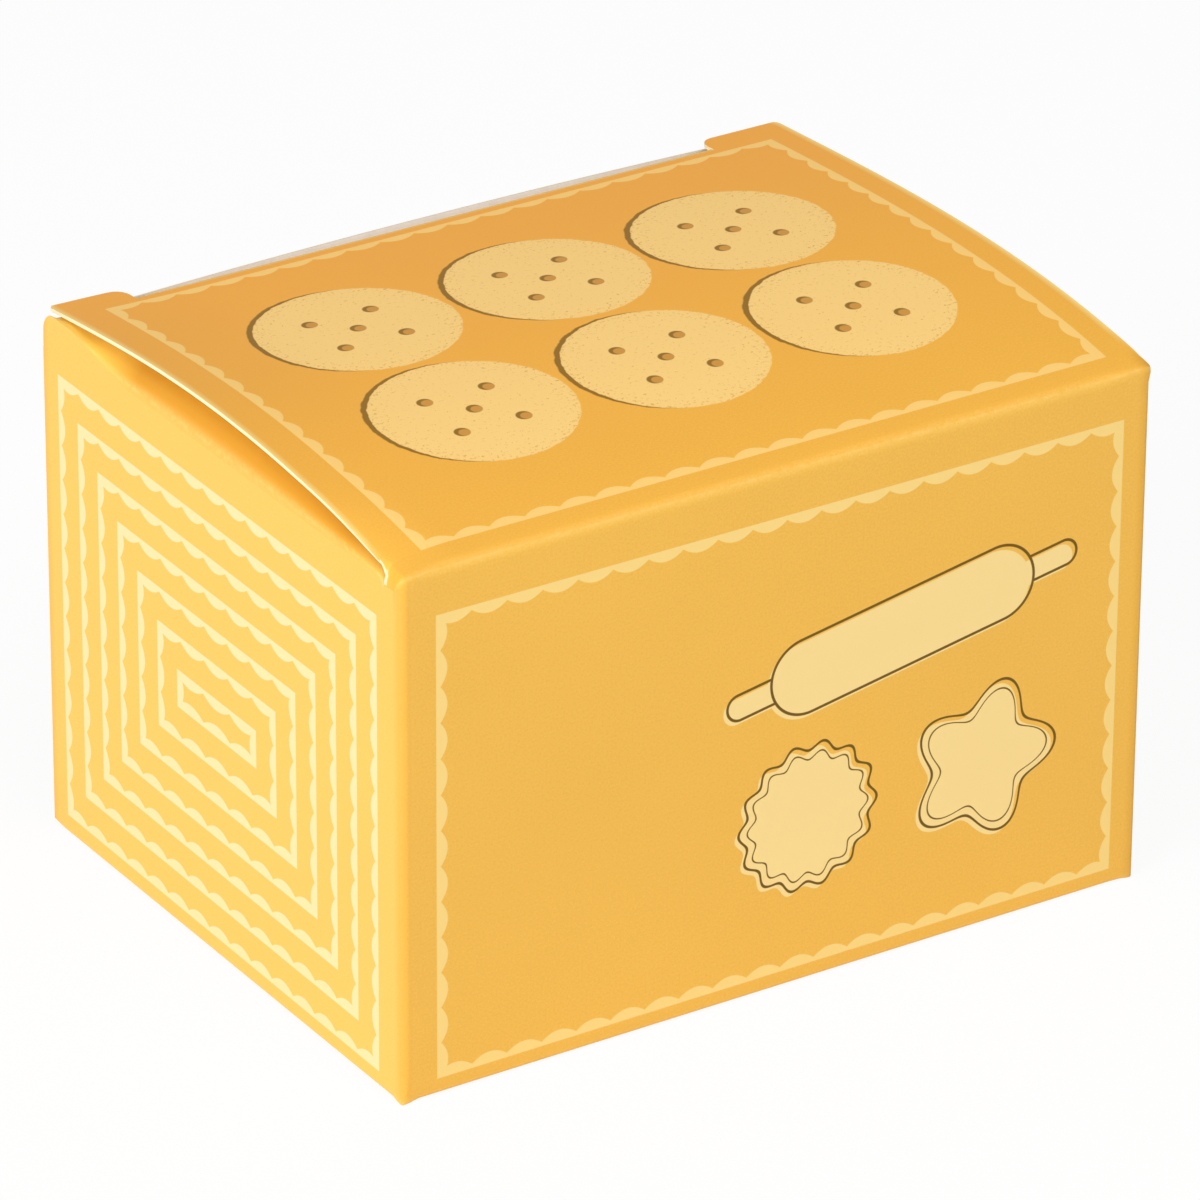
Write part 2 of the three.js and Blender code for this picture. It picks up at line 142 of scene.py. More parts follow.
class CartonSizes(bpy.types.PropertyGroup):
    """Sizes of the folded board."""

    board: length("Board", "Thickness of the carton board", wall_high[1] - wall_low[1])
    corner_fold: length("Corner fold", "Radius of the upright creases", 0.00035)
    front_left_fold: length("Front left fold", "Radius of the upright crease nearest the eye", 0.00095)
    base_fold: length("Base fold", "Radius of the folds along the base", 0.00045)
    lid_arch: length("Lid arch", "How far the shut lid bows up", 0.0023)
    lid_droop: length("Lid droop", "How far the lid's left edge hangs down beside the front", 0.00115)
    lid_lift: length("Lid lift", "How far the lid's left edge stands up further back", 0.0008)
    lid_flare: length("Lid flare", "How far the crease's right end stands out", 0.0003)
    lid_skew: length("Lid skew", "How far the lid's back edge leans to the right", 0.0007)
    lid_slant: length("Lid slant", "How far the lid's back edge comes forward at its right end", 0.0004)
    flap_spring: length("Flap spring", "How far a dust flap springs up beside its fold", 0.0028)
    back_bow: length("Back bow", "How far the back panel bows out over its height", 0.0002)
    back_curl: length("Back curl", "How far the tuck flap bends out the back panel's top edge", 0.0005)


class PrintSizes(bpy.types.PropertyGroup):
    """Sizes of the printed pattern."""

    cusp: length("Frame cusp", "Width of a printed frame between two scallops", 0.00047)
    crest: length("Frame crest", "Width of a printed frame at the middle of a scallop", 0.00122)
    nest: length("Nested step", "Step from one end panel frame to the next inside it", 0.00368)
    line: length("Drawn line", "Width of the drawing's outline", 0.0003)
    biscuit: length("Biscuit", "Diameter of a printed biscuit", 0.0202)


class PrintColours(bpy.types.PropertyGroup):
    """Colours of the board and its print, with painted shade and painted light for the folds, the ends and
    the lid.
    """

    amber: colour("Amber", "The ground colour of the front and the back", (0.88, 0.495, 0.085))
    # Shaded copy of the amber ink: the ends' ground is painted darker than the front's, to offset the strong
    # lamp on the left end. The dust flaps share it.
    end_amber_shaded: colour("End amber shaded", "The ground colour of the ends", (0.8, 0.455, 0.08))
    # Shaded copy of the amber ink: the lid's ground is painted darker and more orange than the front's, to
    # suit the light on the lid.
    lid_amber_shaded: colour("Lid amber shaded", "The ground colour of the lid beside its crease", (0.88, 0.46, 0.068))
    # Painted shade: the lid's ground turns to this darker, more orange colour towards its back edge.
    lid_back_shade: colour("Lid back shade", "The ground colour of the lid at its back edge", (0.92, 0.41, 0.064))
    # Painted shade: this colour darkens the dust flaps past their fold, and the walls along the upright
    # creases.
    painted_fold_shade: colour("Painted fold shade", "The ground colour past the folds", (0.65, 0.28, 0.015))
    # Painted light: a brighter colour past the dust flaps' fold towards the back, lifting the shadow under
    # the lid there.
    painted_back_light: colour("Painted back light", "The ground colour past the folds at the back", (0.98, 0.56, 0.075))
    pale: colour("Pale", "The scalloped frames", (0.95, 0.68, 0.235))
    end_pale_sheened: colour("End pale sheened", "The scalloped frames of the ends", (0.86, 0.61, 0.3))
    # Painted sheen: the ends' frames are the pale ink made whiter, standing in for the sheen on the ends.
    lid_pale: colour("Lid pale", "The scalloped frame of the lid", (0.97, 0.62, 0.19))
    biscuit: colour("Biscuit", "The printed biscuits", (0.97, 0.64, 0.22))
    crumb: colour("Crumb", "Speckles baked into the biscuits", (0.62, 0.3, 0.06))
    shade: colour("Shade", "The baked underside of the biscuits", (0.3, 0.15, 0.02))
    fill: colour("Drawing fill", "The flat tint of the drawing", (0.947, 0.708, 0.292))
    ink: colour("Ink", "The drawing's outline", (0.171, 0.091, 0.0097))
    liner: colour("Liner", "The unprinted inside of the board", (0.89, 0.85, 0.8))
    raw_edge: colour("Raw edge", "The cut edge of the board", (0.84, 0.71, 0.46))


class CutterSizes(bpy.types.PropertyGroup):
    """Sizes of the steel cutter."""

    flute_valley: length("Flute valley", "Radius between two flutes of the wall", 0.001)
    wall: length("Wall", "Thickness of the cutting wall", 0.0005)
    knob: length("Knob", "Diameter of the knob", knob_high[0] - knob_low[0])
    wire: length("Spring wire", "Diameter of the spring's wire", 0.0009)
    coil: length("Coil", "Mean diameter of the spring's coil", 0.0068)
    turns: number("Turns", "Turns of the spring", 5.5, least=1.0)


class SteelColours(bpy.types.PropertyGroup):
    """Colours of the steel."""

    sheet: colour("Sheet", "Rolled stainless sheet", (0.62, 0.63, 0.65))
    turned: colour("Turned", "Turned and polished stainless", (0.68, 0.69, 0.71))
    wire: colour("Wire", "Drawn spring wire", (0.5, 0.51, 0.53))


class StageLooks(bpy.types.PropertyGroup):
    """The light and the floor."""

    key: number("Key", "Light of the main lamp on a facing surface", 0.93)
    fill: number("Fill", "Even light from all round", 0.36)
    front: number("Front", "Light of the near lamp over the front", 0.36)
    floor: colour("Floor", "Colour of the floor", (0.93, 0.93, 0.93))


def math_step(operation, swapped=False):
    """A method that feeds its signal, and any other value, to one Math node. swapped puts the other first."""

    def step(self, *others):
        values = (*others, self) if swapped else (self, *others)
        return self.finish.maths(operation, *values)

    return step


class Signal:
    """One output of a finish's nodes. Arithmetic on it adds Math nodes."""

    def __init__(self, finish, socket):
        self.finish = finish
        self.socket = socket

    __add__ = math_step("ADD")
    __radd__ = math_step("ADD", swapped=True)
    __sub__ = math_step("SUBTRACT")
    __rsub__ = math_step("SUBTRACT", swapped=True)
    __mul__ = math_step("MULTIPLY")
    __rmul__ = math_step("MULTIPLY", swapped=True)
    __truediv__ = math_step("DIVIDE")
    __rtruediv__ = math_step("DIVIDE", swapped=True)
    __pow__ = math_step("POWER")
    __abs__ = math_step("ABSOLUTE")
    # The smaller and the larger of two values, the value rounded down, what is left above that, and its sine.
    least = math_step("MINIMUM")
    most = math_step("MAXIMUM")
    whole = math_step("FLOOR")
    part = math_step("FRACT")
    wave = math_step("SINE")

    def out(self, name):
        """Another output of the same node."""
        return Signal(self.finish, self.socket.node.outputs[name])

    def held(self):
        """The value kept between 0 and 1."""
        return self.finish.maths("ADD", self, 0.0, held=True)

    def fade(self, reach):
        """1 where the value is 0, falling evenly to 0 at the reach."""
        return (1.0 - self / reach).held()

    def climb(self, start, run):
        """0 up to the start, rising evenly to 1 after the run."""
        return ((self - start) / run).held()

    def inside(self, softness=0.06):
        """1 where the value is above 0, with an edge this soft."""
        return (self / softness + 0.5).held()


class Finish:
    """The nodes of a material, or of the world."""

    def __init__(self, owner):
        owner.use_nodes = True
        self.owner = owner
        self.tree = owner.node_tree
        self.tree.nodes.clear()

    def node(self, kind, settings, sockets, output=0):
        """Adds a node: its settings first, then the values or links of its sockets."""
        node = self.tree.nodes.new(kind)
        for name, value in settings.items():
            setattr(node, name, value)
        for name, value in sockets.items():
            socket = node.inputs[name]
            if isinstance(value, Signal):
                self.tree.links.new(value.socket, socket)
            elif socket.type == "RGBA":
                socket.default_value = (*value[:3], 1.0)
            else:
                socket.default_value = value
        return Signal(self, node.outputs[output]) if node.outputs else None

    def maths(self, operation, *values, held=False):
        """A Math node, with its result kept between 0 and 1 where it is held."""
        settings = {"operation": operation, "use_clamp": held}
        return self.node("ShaderNodeMath", settings, dict(enumerate(values)))

    def mix(self, factor, first, second):
        """A colour between two colours."""
        return self.node("ShaderNodeMix", {"data_type": "RGBA"}, {0: factor, 6: first, 7: second}, 2)

    def flat_place(self):
        """Where the point lies on the unfolded sheet, in millimetres."""
        return self.node("ShaderNodeUVMap", {"uv_map": FLAT_MAP}, {})

    def body_place(self, stretch):
        """Where the point lies in the object, stretched by a number for each axis."""
        place = self.node("ShaderNodeTexCoord", {}, {}, "Object")
        return self.node("ShaderNodeVectorMath", {"operation": "MULTIPLY"}, {0: place, 1: stretch})

    def noise(self, place, scale, detail=2.0, roughness=0.5):
        """Soft noise from 0 to 1, with this many waves to each unit of the place."""
        sockets = {"Vector": place, "Scale": scale, "Detail": detail, "Roughness": roughness}
        return self.node("ShaderNodeTexNoise", {}, sockets)

    def bump(self, height, distance):
        """A normal raised by a height from 0 to 1, a distance in metres."""
        return self.node("ShaderNodeBump", {}, {"Distance": distance, "Height": height}, "Normal")

    def surface(self, sockets):
        """Ends the finish with its shader."""
        shader = self.node("ShaderNodeBsdfPrincipled", {}, sockets)
        self.node("ShaderNodeOutputMaterial", {}, {"Surface": shader})
        return self.owner


def shaded(tint, amount):
    """A colour made lighter or darker by an amount."""
    return tuple(min(1.0, part * amount) for part in tint)


def scalloped_frame(across, up, middle, half, lobes, nested=False):
    """1 on a printed frame with a straight outer edge and a scalloped inner one.

    half holds half its width and half its height, and lobes the scallops along them. A nested frame repeats
    itself inwards, with two lobes fewer on each side.
    """
    sizes = bpy.context.scene.print_sizes
    cusp = sizes.cusp / MM
    rise = sizes.crest / MM - cusp
    across = across - middle[0]
    up = up - middle[1]
    side = abs(across)
    end = abs(up)
    half_width, half_height = half
    lobes_across, lobes_up = lobes
    within = (half_width - side).least(half_height - end)
    if nested:
        step = sizes.nest / MM
        level = (within / step).whole().most(0.0)
        half_width = half_width - level * step
        half_height = half_height - level * step
        lobes_across = lobes_across - level * 2.0
        lobes_up = lobes_up - level * 2.0

    def band(along, half_run, count):
        turn = ((along + half_run) * count / (half_run * 2.0)).part() * 2.0 - 1.0
        return cusp + rise * (1.0 - turn * turn)

    top = band(across, half_width, lobes_across) - (half_height - end)
    flank = band(up, half_height, lobes_up) - (half_width - side)
    return top.most(flank).least(within).inside()


def apart(run, rise):
    """How far two points lie from each other."""
    return (run * run + rise * rise) ** 0.5


def disc(across, up, middle, radius):
    """Above 0 inside a circle: how far inside its edge the point lies."""
    return radius - apart(across - middle[0], up - middle[1])


def bar(across, up, start, end, radius):
    """Above 0 inside a straight bar with round ends."""
    run = (end[0] - start[0], end[1] - start[1])
    square = run[0] ** 2 + run[1] ** 2
    from_x = across - start[0]
    from_y = up - start[1]
    share = ((from_x * run[0] + from_y * run[1]) / square).held()
    return radius - apart(from_x - share * run[0], from_y - share * run[1])


def petals(across, up, middle, radius, lobes, swing):
    """Above 0 inside a round shape whose edge swings in and out, once for each lobe."""
    run = across - middle[0]
    rise = up - middle[1]
    angle = run.finish.maths("ARCTAN2", rise, run)
    edge = radius + (angle * lobes + QUARTER).wave() * swing
    return edge - apart(run, rise)


def bare_art(finish, across, up, ground):
    """No print on the ground colour."""
    return ground


def flap_art(finish, across, up, ground):
    """The ends' ground colour, with painted shade past the fold and painted light there towards the back,
    where the lid's shadow falls.
    """
    colours = bpy.context.scene.print_colours
    behind = abs(across) - HALF_LENGTH
    past_fold = up.climb(HEIGHT - 1.15, 2.4) * (up - HEIGHT - 3.0).fade(3.5)
    past_cut = behind.climb(1.5, 8.0)
    near_back = behind.climb(48.5, 8.0)
    # Painted shade past the fold, turning to painted light towards the back.
    folded = finish.mix(near_back, colours.painted_fold_shade, colours.painted_back_light)
    return finish.mix(past_fold * past_cut, ground, folded)


def side_art(finish, across, up, ground):
    """One scalloped frame, as the front and the back carry it."""
    frame_mask = scalloped_frame(across, up, middle=(0.5, 26.25), half=(38.6, 24.43), lobes=(20, 13))
    return finish.mix(frame_mask, ground, bpy.context.scene.print_colours.pale)


def baking_shapes(across, up):
    """A rolling pin, its handles and two cutters: how far inside each shape the point lies."""
    pin = bar(across, up, start=(-11.0, 9.6), end=(11.0, 13.4), radius=4.0)
    handles = bar(across, up, start=(-18.6, 8.3), end=(18.6, 14.7), radius=1.35)
    fluted = petals(across, up, middle=(-10.6, -5.6), radius=7.5, lobes=14, swing=0.4)
    flower = petals(across, up, middle=(9.6, -5.2), radius=7.2, lobes=5, swing=1.3)
    return pin, handles, fluted, flower


def front_art(finish, across, up, ground):
    """The frame, and a line drawing of baking tools over a flat tint that sits a little off its outline."""
    scene = bpy.context.scene
    colours = scene.print_colours
    half_line = scene.print_sizes.line / MM / 2
    half_rim_line = half_line * 0.6
    rim = 1.0
    drawing = (14.0, 23.5)
    tint_shift = (0.45, 0.4)
    drawn_across = across - drawing[0]
    drawn_up = up - drawing[1]
    shapes = baking_shapes(drawn_across + tint_shift[0], drawn_up + tint_shift[1])
    tint = [shape.inside() for shape in shapes]
    tint_mask = tint[0].most(tint[1]).most(tint[2].most(tint[3]))
    pin, handles, fluted, flower = baking_shapes(drawn_across, drawn_up)
    outside_pin = (0.0 - pin).inside()
    lines = (half_line - abs(pin)).inside()
    lines = lines.most((half_line - abs(handles)).inside() * outside_pin)
    for cutter in (fluted, flower):
        lines = lines.most((half_line - abs(cutter)).inside())
        lines = lines.most((half_rim_line - abs(cutter - rim)).inside())
    framed = side_art(finish, across, up, ground)
    tinted = finish.mix(tint_mask, framed, colours.fill)
    return finish.mix(lines, tinted, colours.ink)


def end_art(finish, across, up, ground):
    """Seven scalloped frames, one inside the other, printed very slightly askew."""
    askew = 0.0064
    frames = scalloped_frame(
        across, up + across * askew, middle=(0.0, 26.12), half=(29.47, 24.12), lobes=(15, 13), nested=True
    )
    return finish.mix(frames, ground, bpy.context.scene.print_colours.end_pale_sheened)


def biscuit_holes(x, y, middle, radius):
    """Above 0 inside the five holes of a biscuit."""
    hole_step = 3.4
    side = abs(x - middle[0])
    end = abs(y - middle[1])
    return disc(side, end, (hole_step, hole_step), radius).most(disc(side, end, (0.0, 0.0), radius))


def biscuit_rows(finish, column, row, shown):
    """Two rows of three round biscuits over what is shown already, each with its underside to one side."""
    scene = bpy.context.scene
    colours = scene.print_colours
    radius = scene.print_sizes.biscuit / MM / 2
    gap = 1.2
    pitch = radius * 2 + gap
    top_middle, under_middle, floor_middle = (0.25, -0.1), (-0.3, 0.12), (0.45, -0.28)
    in_rows = (1.5 * pitch - abs(column)).least(pitch - abs(row)).inside()
    x = ((column / pitch + 1.5).part() - 0.5) * pitch
    y = ((row / pitch + 1.0).part() - 0.5) * pitch
    place = finish.flat_place()
    crumbs = finish.noise(place, scale=2.6, detail=3.0, roughness=0.7)
    ragged = (finish.noise(place, scale=0.9) - 0.5) * 0.35
    top = disc(x, y, top_middle, radius) + ragged
    under = disc(x, y, under_middle, radius) + ragged
    baked = top.fade(2.4) * 0.06
    speckle = ((crumbs - 0.6 + baked) * 9.0).held() * 0.75
    hole = biscuit_holes(x, y, top_middle, 0.8)
    hole_floor = biscuit_holes(x, y, floor_middle, 0.62)
    biscuit = finish.mix(speckle, colours.biscuit, colours.crumb)
    biscuit = finish.mix(hole.inside(0.12), biscuit, colours.shade)
    biscuit = finish.mix(hole_floor.least(hole).inside(0.12), biscuit, colours.crumb)
    shown = finish.mix(under.inside(0.15) * in_rows, shown, colours.shade)
    return finish.mix(top.inside(0.1) * in_rows, shown, biscuit)


def lid_art(finish, across, up, ground):
    """A scalloped frame round two rows of biscuits, with a painted highlight and a raw spot along the lid's
    cut.
    """
    colours = bpy.context.scene.print_colours
    behind = up - HEIGHT
    # Painted shade: the lid darkens towards its back edge.
    painted_lid_shade = finish.mix((behind / LID_BACK).held() * 0.9, ground, colours.lid_back_shade)
    frame_mask = scalloped_frame(across, behind, middle=(0.45, 32.435), half=(38.35, 29.535), lobes=(20, 16))
    shown = finish.mix(frame_mask, painted_lid_shade, colours.lid_pale)
    shown = biscuit_rows(finish, across - 0.75, behind - HALF_DEPTH, shown)
    past_cut = behind - SLIT_END
    # Painted highlight: the lid's side edges are paler, as if lit.
    painted_edge_highlight = (HALF_LENGTH - abs(across)).fade(0.8) * past_cut.climb(0.6, 4.0)
    shown = finish.mix(painted_edge_highlight, shown, colours.pale)
    chip_depth, least_chip = 0.3, 0.17
    chip = abs(past_cut).fade(0.6) ** 2.0 * chip_depth + least_chip
    beside_cut = (past_cut + 0.45).least(1.4 - past_cut).inside(0.15)
    chipped = (chip - HALF_LENGTH - across).inside(0.1) * beside_cut
    return finish.mix(chipped, shown, colours.raw_edge)


def printed_board(name, middle, art, tint, gloss):
    """Varnished print on board, with art about the middle of its panel on the unfolded sheet."""
    colours = bpy.context.scene.print_colours
    finish = Finish(bpy.data.materials.new(name))
    place = finish.flat_place()
    along = finish.node("ShaderNodeSeparateXYZ", {}, {0: place})
    up = along.out(1)
    grain = finish.noise(place, scale=4.2, detail=3.0, roughness=0.6)
    cloud = finish.noise(place, scale=0.05)
    rub = finish.noise(place, scale=1.4, detail=3.0, roughness=0.65)
    swell = finish.noise(place, scale=0.35)
    tone = (grain * 0.8 + cloud * 0.2 - 0.5) * 2.6 + 0.5
    ground = finish.mix(tone.held(), shaded(tint, 0.94), shaded(tint, 1.06))
    inked = art(finish, along - middle, up, ground)
    round_sheet = abs(along)
    upright = abs(round_sheet - HALF_LENGTH).least(abs(round_sheet - BACK_CREASE))
    # Painted shade along the upright creases, up to just over the walls' top, dimming the highlight that the
    # rounded creases catch.
    painted_crease_shade = upright.fade(1.3) * (HEIGHT + 2.2 - up).inside(1.6) * 0.42
    inked = finish.mix(painted_crease_shade, inked, colours.painted_fold_shade)
    crease = (upright + 0.5).least(abs(up)).least(abs(up - HEIGHT))
    # Paler print and rougher varnish along the creases, broken by a noise: partly rubbed wear, partly a
    # painted highlight on the creases.
    wear_and_highlight = crease.fade(0.8) * (rub * 2.2 - 0.6).held()
    return finish.surface({
        "Base Color": finish.mix(wear_and_highlight * 0.4, inked, shaded(colours.pale, 1.02)),
        "Roughness": 0.4 + (rub - 0.5) * 0.16 + wear_and_highlight * 0.12,
        "Specular IOR Level": gloss,
        "Normal": finish.bump(grain * 0.25 + swell * 0.75, 0.00002),
    })


def plain_board(name, tint, fibre_scale, mapped):
    """Unprinted board: pale pulp with fibres and flecks, laid out on the sheet where the panel is mapped."""
    finish = Finish(bpy.data.materials.new(name))
    place = finish.flat_place() if mapped else finish.body_place((1.0 / MM, 1.0 / MM, 1.0 / MM))
    fibres = finish.noise(place, fibre_scale, detail=4.0, roughness=0.65)
    flecks = finish.noise(place, fibre_scale * 3.0, roughness=0.6)
    pulp = finish.mix((fibres * 1.8 - 0.4).held(), shaded(tint, 0.93), shaded(tint, 1.04))
    return finish.surface({
        "Base Color": finish.mix(((flecks - 0.66) * 10.0).held() * 0.3, pulp, shaded(tint, 0.6)),
        "Roughness": 0.78 + (fibres - 0.5) * 0.2,
        "Specular IOR Level": 0.25,
        "Normal": finish.bump(fibres, 0.00003),
    })


def steel(name, tint, stretch, smoothness, streak_depth):
    """Stainless steel with its working marks drawn out along one direction, and a few finger marks."""
    finish = Finish(bpy.data.materials.new(name))
    streaks = finish.noise(finish.body_place(stretch), scale=1.0, detail=4.0, roughness=0.7)
    marks = finish.noise(finish.body_place((90.0, 90.0, 90.0)), scale=1.0, detail=3.0, roughness=0.6)
    tone = (streaks * 0.7 + marks * 0.3 - 0.5) * 2.0 + 0.5
    return finish.surface({
        "Base Color": finish.mix(tone.held(), shaded(tint, 0.86), shaded(tint, 1.12)),
        "Roughness": smoothness + (streaks - 0.5) * 0.14 + (marks - 0.45).held() * 0.3,
        "Metallic": 1.0,
        "Normal": finish.bump(streaks, streak_depth),
    })


# The frames on the ends are printed a little off the middle of their panels.
END_PRINT = END_MIDDLE + 0.53

# Middle of the art on the unfolded sheet, the art, its ground colour, which for the ends and the lid is a
# shaded copy of the amber, and the varnish's gloss.
PRINTS = {
    "print_front": (0.0, front_art, "amber", 0.1),
    "print_back": (-BACK_CREASE - HALF_LENGTH, side_art, "amber", 0.1),
    "print_left_end": (-END_PRINT, end_art, "end_amber_shaded", 0.22),
    "print_right_end": (END_PRINT, end_art, "end_amber_shaded", 0.22),
    "print_lid": (0.0, lid_art, "lid_amber_shaded", 0.03),
    "print_flap": (0.0, flap_art, "end_amber_shaded", 0.22),
    "print_plain": (0.0, bare_art, "amber", 0.1),
}
# Colour, scale of the fibres, and whether the panel is mapped to the unfolded sheet.
PLAIN_BOARDS = {
    "board_liner": ("liner", 0.8, True),
    "board_edge": ("raw_edge", 3.0, True),
    "board_inside": ("liner", 0.8, False),
}
# Colour, stretch of the working marks, roughness, and depth of the marks in metres.
STEELS = {
    "rolled_steel": ("sheet", (60.0, 2600.0, 2600.0), 0.24, 0.000004),
    "wall_steel": ("sheet", (500.0, 500.0, 5200.0), 0.2, 0.000003),
    "turned_steel": ("turned", (90.0, 90.0, 6000.0), 0.16, 0.000003),
    "wire_steel": ("wire", (2200.0, 2200.0, 900.0), 0.26, 0.000006),
}


def finish_named(name):
    """A finish by its name, made once."""
    scene = bpy.context.scene
    made = bpy.data.materials.get(name)
    if made:
        return made
    if name in PRINTS:
        middle, art, ground, gloss = PRINTS[name]
        return printed_board(name, middle, art, getattr(scene.print_colours, ground), gloss)
    if name in PLAIN_BOARDS:
        tint, fibre_scale, mapped = PLAIN_BOARDS[name]
        return plain_board(name, getattr(scene.print_colours, tint), fibre_scale, mapped)
    tint, *marks = STEELS[name]
    return steel(name, getattr(scene.steel_colours, tint), *marks)


def dress_node(node, finish):
    """Gives a part that is shown as it was built its finish."""
    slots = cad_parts[node].data.materials
    slots.clear()
    slots.append(finish)


def add_piece(name, points, faces, finishes, face_finish=None, flat=None, smooth_to=35.0):
    """A mesh object from points in millimetres, shaded smooth up to an angle between faces."""
    mesh = bpy.data.meshes.new(name)
    mesh.from_pydata([tuple(MM * float(part) for part in point) for point in points], [], faces)
    for finish in finishes:
        mesh.materials.append(finish)
    if face_finish is not None:
        mesh.polygons.foreach_set("material_index", face_finish)
    if flat is not None:
        layer = mesh.uv_layers.new(name=FLAT_MAP)
        corners = np.empty(len(mesh.loops), dtype=np.int32)
        mesh.loops.foreach_get("vertex_index", corners)
        layer.data.foreach_set("uv", np.asarray(flat, dtype=np.float32)[corners].ravel())
    mesh.validate()
    mesh.shade_smooth()
    mesh.set_sharp_from_angle(angle=math.radians(smooth_to))
    piece = bpy.data.objects.new(name, mesh)
    bpy.context.scene.collection.objects.link(piece)
    return piece


def grid_normals(grid, closed):
    """Unit normals of a grid of points. A closed grid's last column comes before its first."""
    along_rows = np.gradient(grid, axis=0)
    if closed:
        along_columns = np.roll(grid, -1, axis=1) - np.roll(grid, 1, axis=1)
    else:
        along_columns = np.gradient(grid, axis=1)
    normals = np.cross(along_columns, along_rows)
    shortest = 1e-9
    return normals / np.maximum(np.linalg.norm(normals, axis=2, keepdims=True), shortest)


def sheet_piece(name, grid, flat, finishes, thickness, keep=None, face_of=None, closed=False, seam=None):
    """A bent sheet. Its outer face is a grid of points, and its inner face lies its thickness behind.

    finishes are those of the outer face, then the inner face's and the cut edge's, or one for the whole
    sheet. keep says which cells are there, and face_of which of the outer finishes a cell has. seam says
    where an edge meets the next sheet of the same board, so it isn't cut and looks like the face beside it.
    """
    rows, columns = grid.shape[:2]
    inner = grid - grid_normals(grid, closed) * thickness
    inner_finish = max(0, len(finishes) - 2)
    edge_finish = len(finishes) - 1
    across = range(columns if closed else columns - 1)
    cells = [(r, c) for r in range(rows - 1) for c in across if keep is None or keep(r, c)]
    quads = []
    for r, c in cells:
        after = (c + 1) % columns
        quads.append((r * columns + c, r * columns + after, (r + 1) * columns + after, (r + 1) * columns + c))
    used = sorted({corner for quad in quads for corner in quad})
    place_of = {corner: index for index, corner in enumerate(used)}
    behind = len(used)
    outer_points = grid.reshape(-1, 3)[used]
    inner_points = inner.reshape(-1, 3)[used]
    flat_points = flat.reshape(-1, 2)[used]
    faces = []
    face_finish = []
    sides = {}
    for cell, quad in zip(cells, quads):
        corners = [place_of[corner] for corner in quad]
        faces.append(corners)
        face_finish.append(face_of(*cell) if face_of else 0)
        faces.append([corner + behind for corner in reversed(corners)])
        face_finish.append(inner_finish)
        for start, end in zip(corners, corners[1:] + corners[:1]):
            sides[start, end] = face_finish[-2]
    for (start, end), beside in sides.items():
        if (end, start) not in sides:
            faces.append((end, start, start + behind, end + behind))
            uncut = seam is not None and seam((outer_points[start] + outer_points[end]) / 2)
            face_finish.append(beside if uncut else edge_finish)
    points = np.concatenate([outer_points, inner_points])
    return add_piece(name, points, faces, finishes, face_finish, np.concatenate([flat_points, flat_points]))


def board_piece(name, grid, flat, printed, keep=None, face_of=None, seam=None, crushed=None):
    """A sheet of the carton's board, printed outside.

    crushed gives the thickness where a fold squeezes the board.
    """
    board = bpy.context.scene.carton_sizes.board / MM
    thickness = board if crushed is None else np.minimum(crushed, board)[:, :, None]
    finishes = [finish_named(finish) for finish in (*printed, "board_liner", "board_edge")]
    return sheet_piece(name, np.array(grid), np.array(flat), finishes, thickness, keep, face_of, seam=seam)


def eased(start, end, steps):
    """Numbers from start to end, close together at both ends."""
    turn = np.linspace(0.0, math.pi, steps)
    return start + (end - start) * (0.5 - 0.5 * np.cos(turn))


def fade(distance, reach):
    """1 at no distance, falling evenly to 0 at the reach."""
    return np.clip(1.0 - distance / reach, 0.0, 1.0)


def climb(value, start, run):
    """0 up to the start, rising evenly to 1 after the run."""
    return np.clip((value - start) / run, 0.0, 1.0)


def smooth(value, start, run):
    """0 up to the start, rising with an eased curve to 1 after the run."""
    share = climb(value, start, run)
    return share * share * (3.0 - 2.0 * share)


def raised(places, height):
    """Points over places seen from above, at one height or at a height each."""
    return np.column_stack([places, np.broadcast_to(height, len(places))])


def arc(middle, radii, first, last, steps):
    """Points round a part of an ellipse, from one angle to another."""
    return [
        (middle[0] + radii[0] * math.cos(angle), middle[1] + radii[1] * math.sin(angle))
        for angle in np.linspace(first, last, steps)
    ]


def ring_faces(rings, steps, closed):
    """Faces between rings of this many steps. A closed stack joins its last ring to its first."""
    faces = []
    for ring in range(rings if closed else rings - 1):
        here = ring * steps
        above = (ring + 1) % rings * steps
        for step in range(steps):
            after = (step + 1) % steps
            faces.append((here + step, here + after, above + after, above + step))
    return faces


def turned_piece(name, profile, finish, steps, centre=(0.0, 0.0)):
    """A lathe-turned piece from (radius, height) pairs, bottom first. One with a bore closes on itself."""
    bored = profile[0][0] > 0.0
    angles = np.linspace(0.0, 2 * math.pi, steps, endpoint=False)
    body = profile if bored else profile[1:-1]
    points = []
    for radius, height in body:
        for angle in angles:
            x = centre[0] + radius * math.cos(angle)
            y = centre[1] + radius * math.sin(angle)
            points.append((x, y, height))
    faces = ring_faces(len(body), steps, bored)
    if not bored:
        for (_, height), ring in ((profile[0], 0), (profile[-1], len(body) - 1)):
            tip = len(points)
            points.append((*centre, height))
            for step in range(steps):
                edge = (ring * steps + step, ring * steps + (step + 1) % steps)
                faces.append((tip, *edge) if ring else (tip, *reversed(edge)))
    return add_piece(name, points, faces, [finish])


def ring_profile(bore, edge, low, high, rounding):
    """The profile of a flat ring with four rounded edges."""
    inner, outer = bore + rounding, edge - rounding
    lower, upper = low + rounding, high - rounding
    corner_steps = 6
    profile = []
    for quarter, middle in enumerate(((inner, lower), (outer, lower), (outer, upper), (inner, upper)), 2):
        turn = quarter * QUARTER
        profile += arc(middle, (rounding, rounding), turn, turn + QUARTER, corner_steps)
    return profile


def lid_rise(behind):
    """How far the shut lid's middle stands over the walls, at a distance behind the front."""
    front_rise, back_rise = 0.15, 0.5
    forward_lean = 0.78
    share = np.clip(behind / (2 * HALF_DEPTH), 0.0, 1.0)
    arch = bpy.context.scene.carton_sizes.lid_arch / MM
    return front_rise + back_rise * share + arch * np.sin(math.pi * share ** forward_lean)


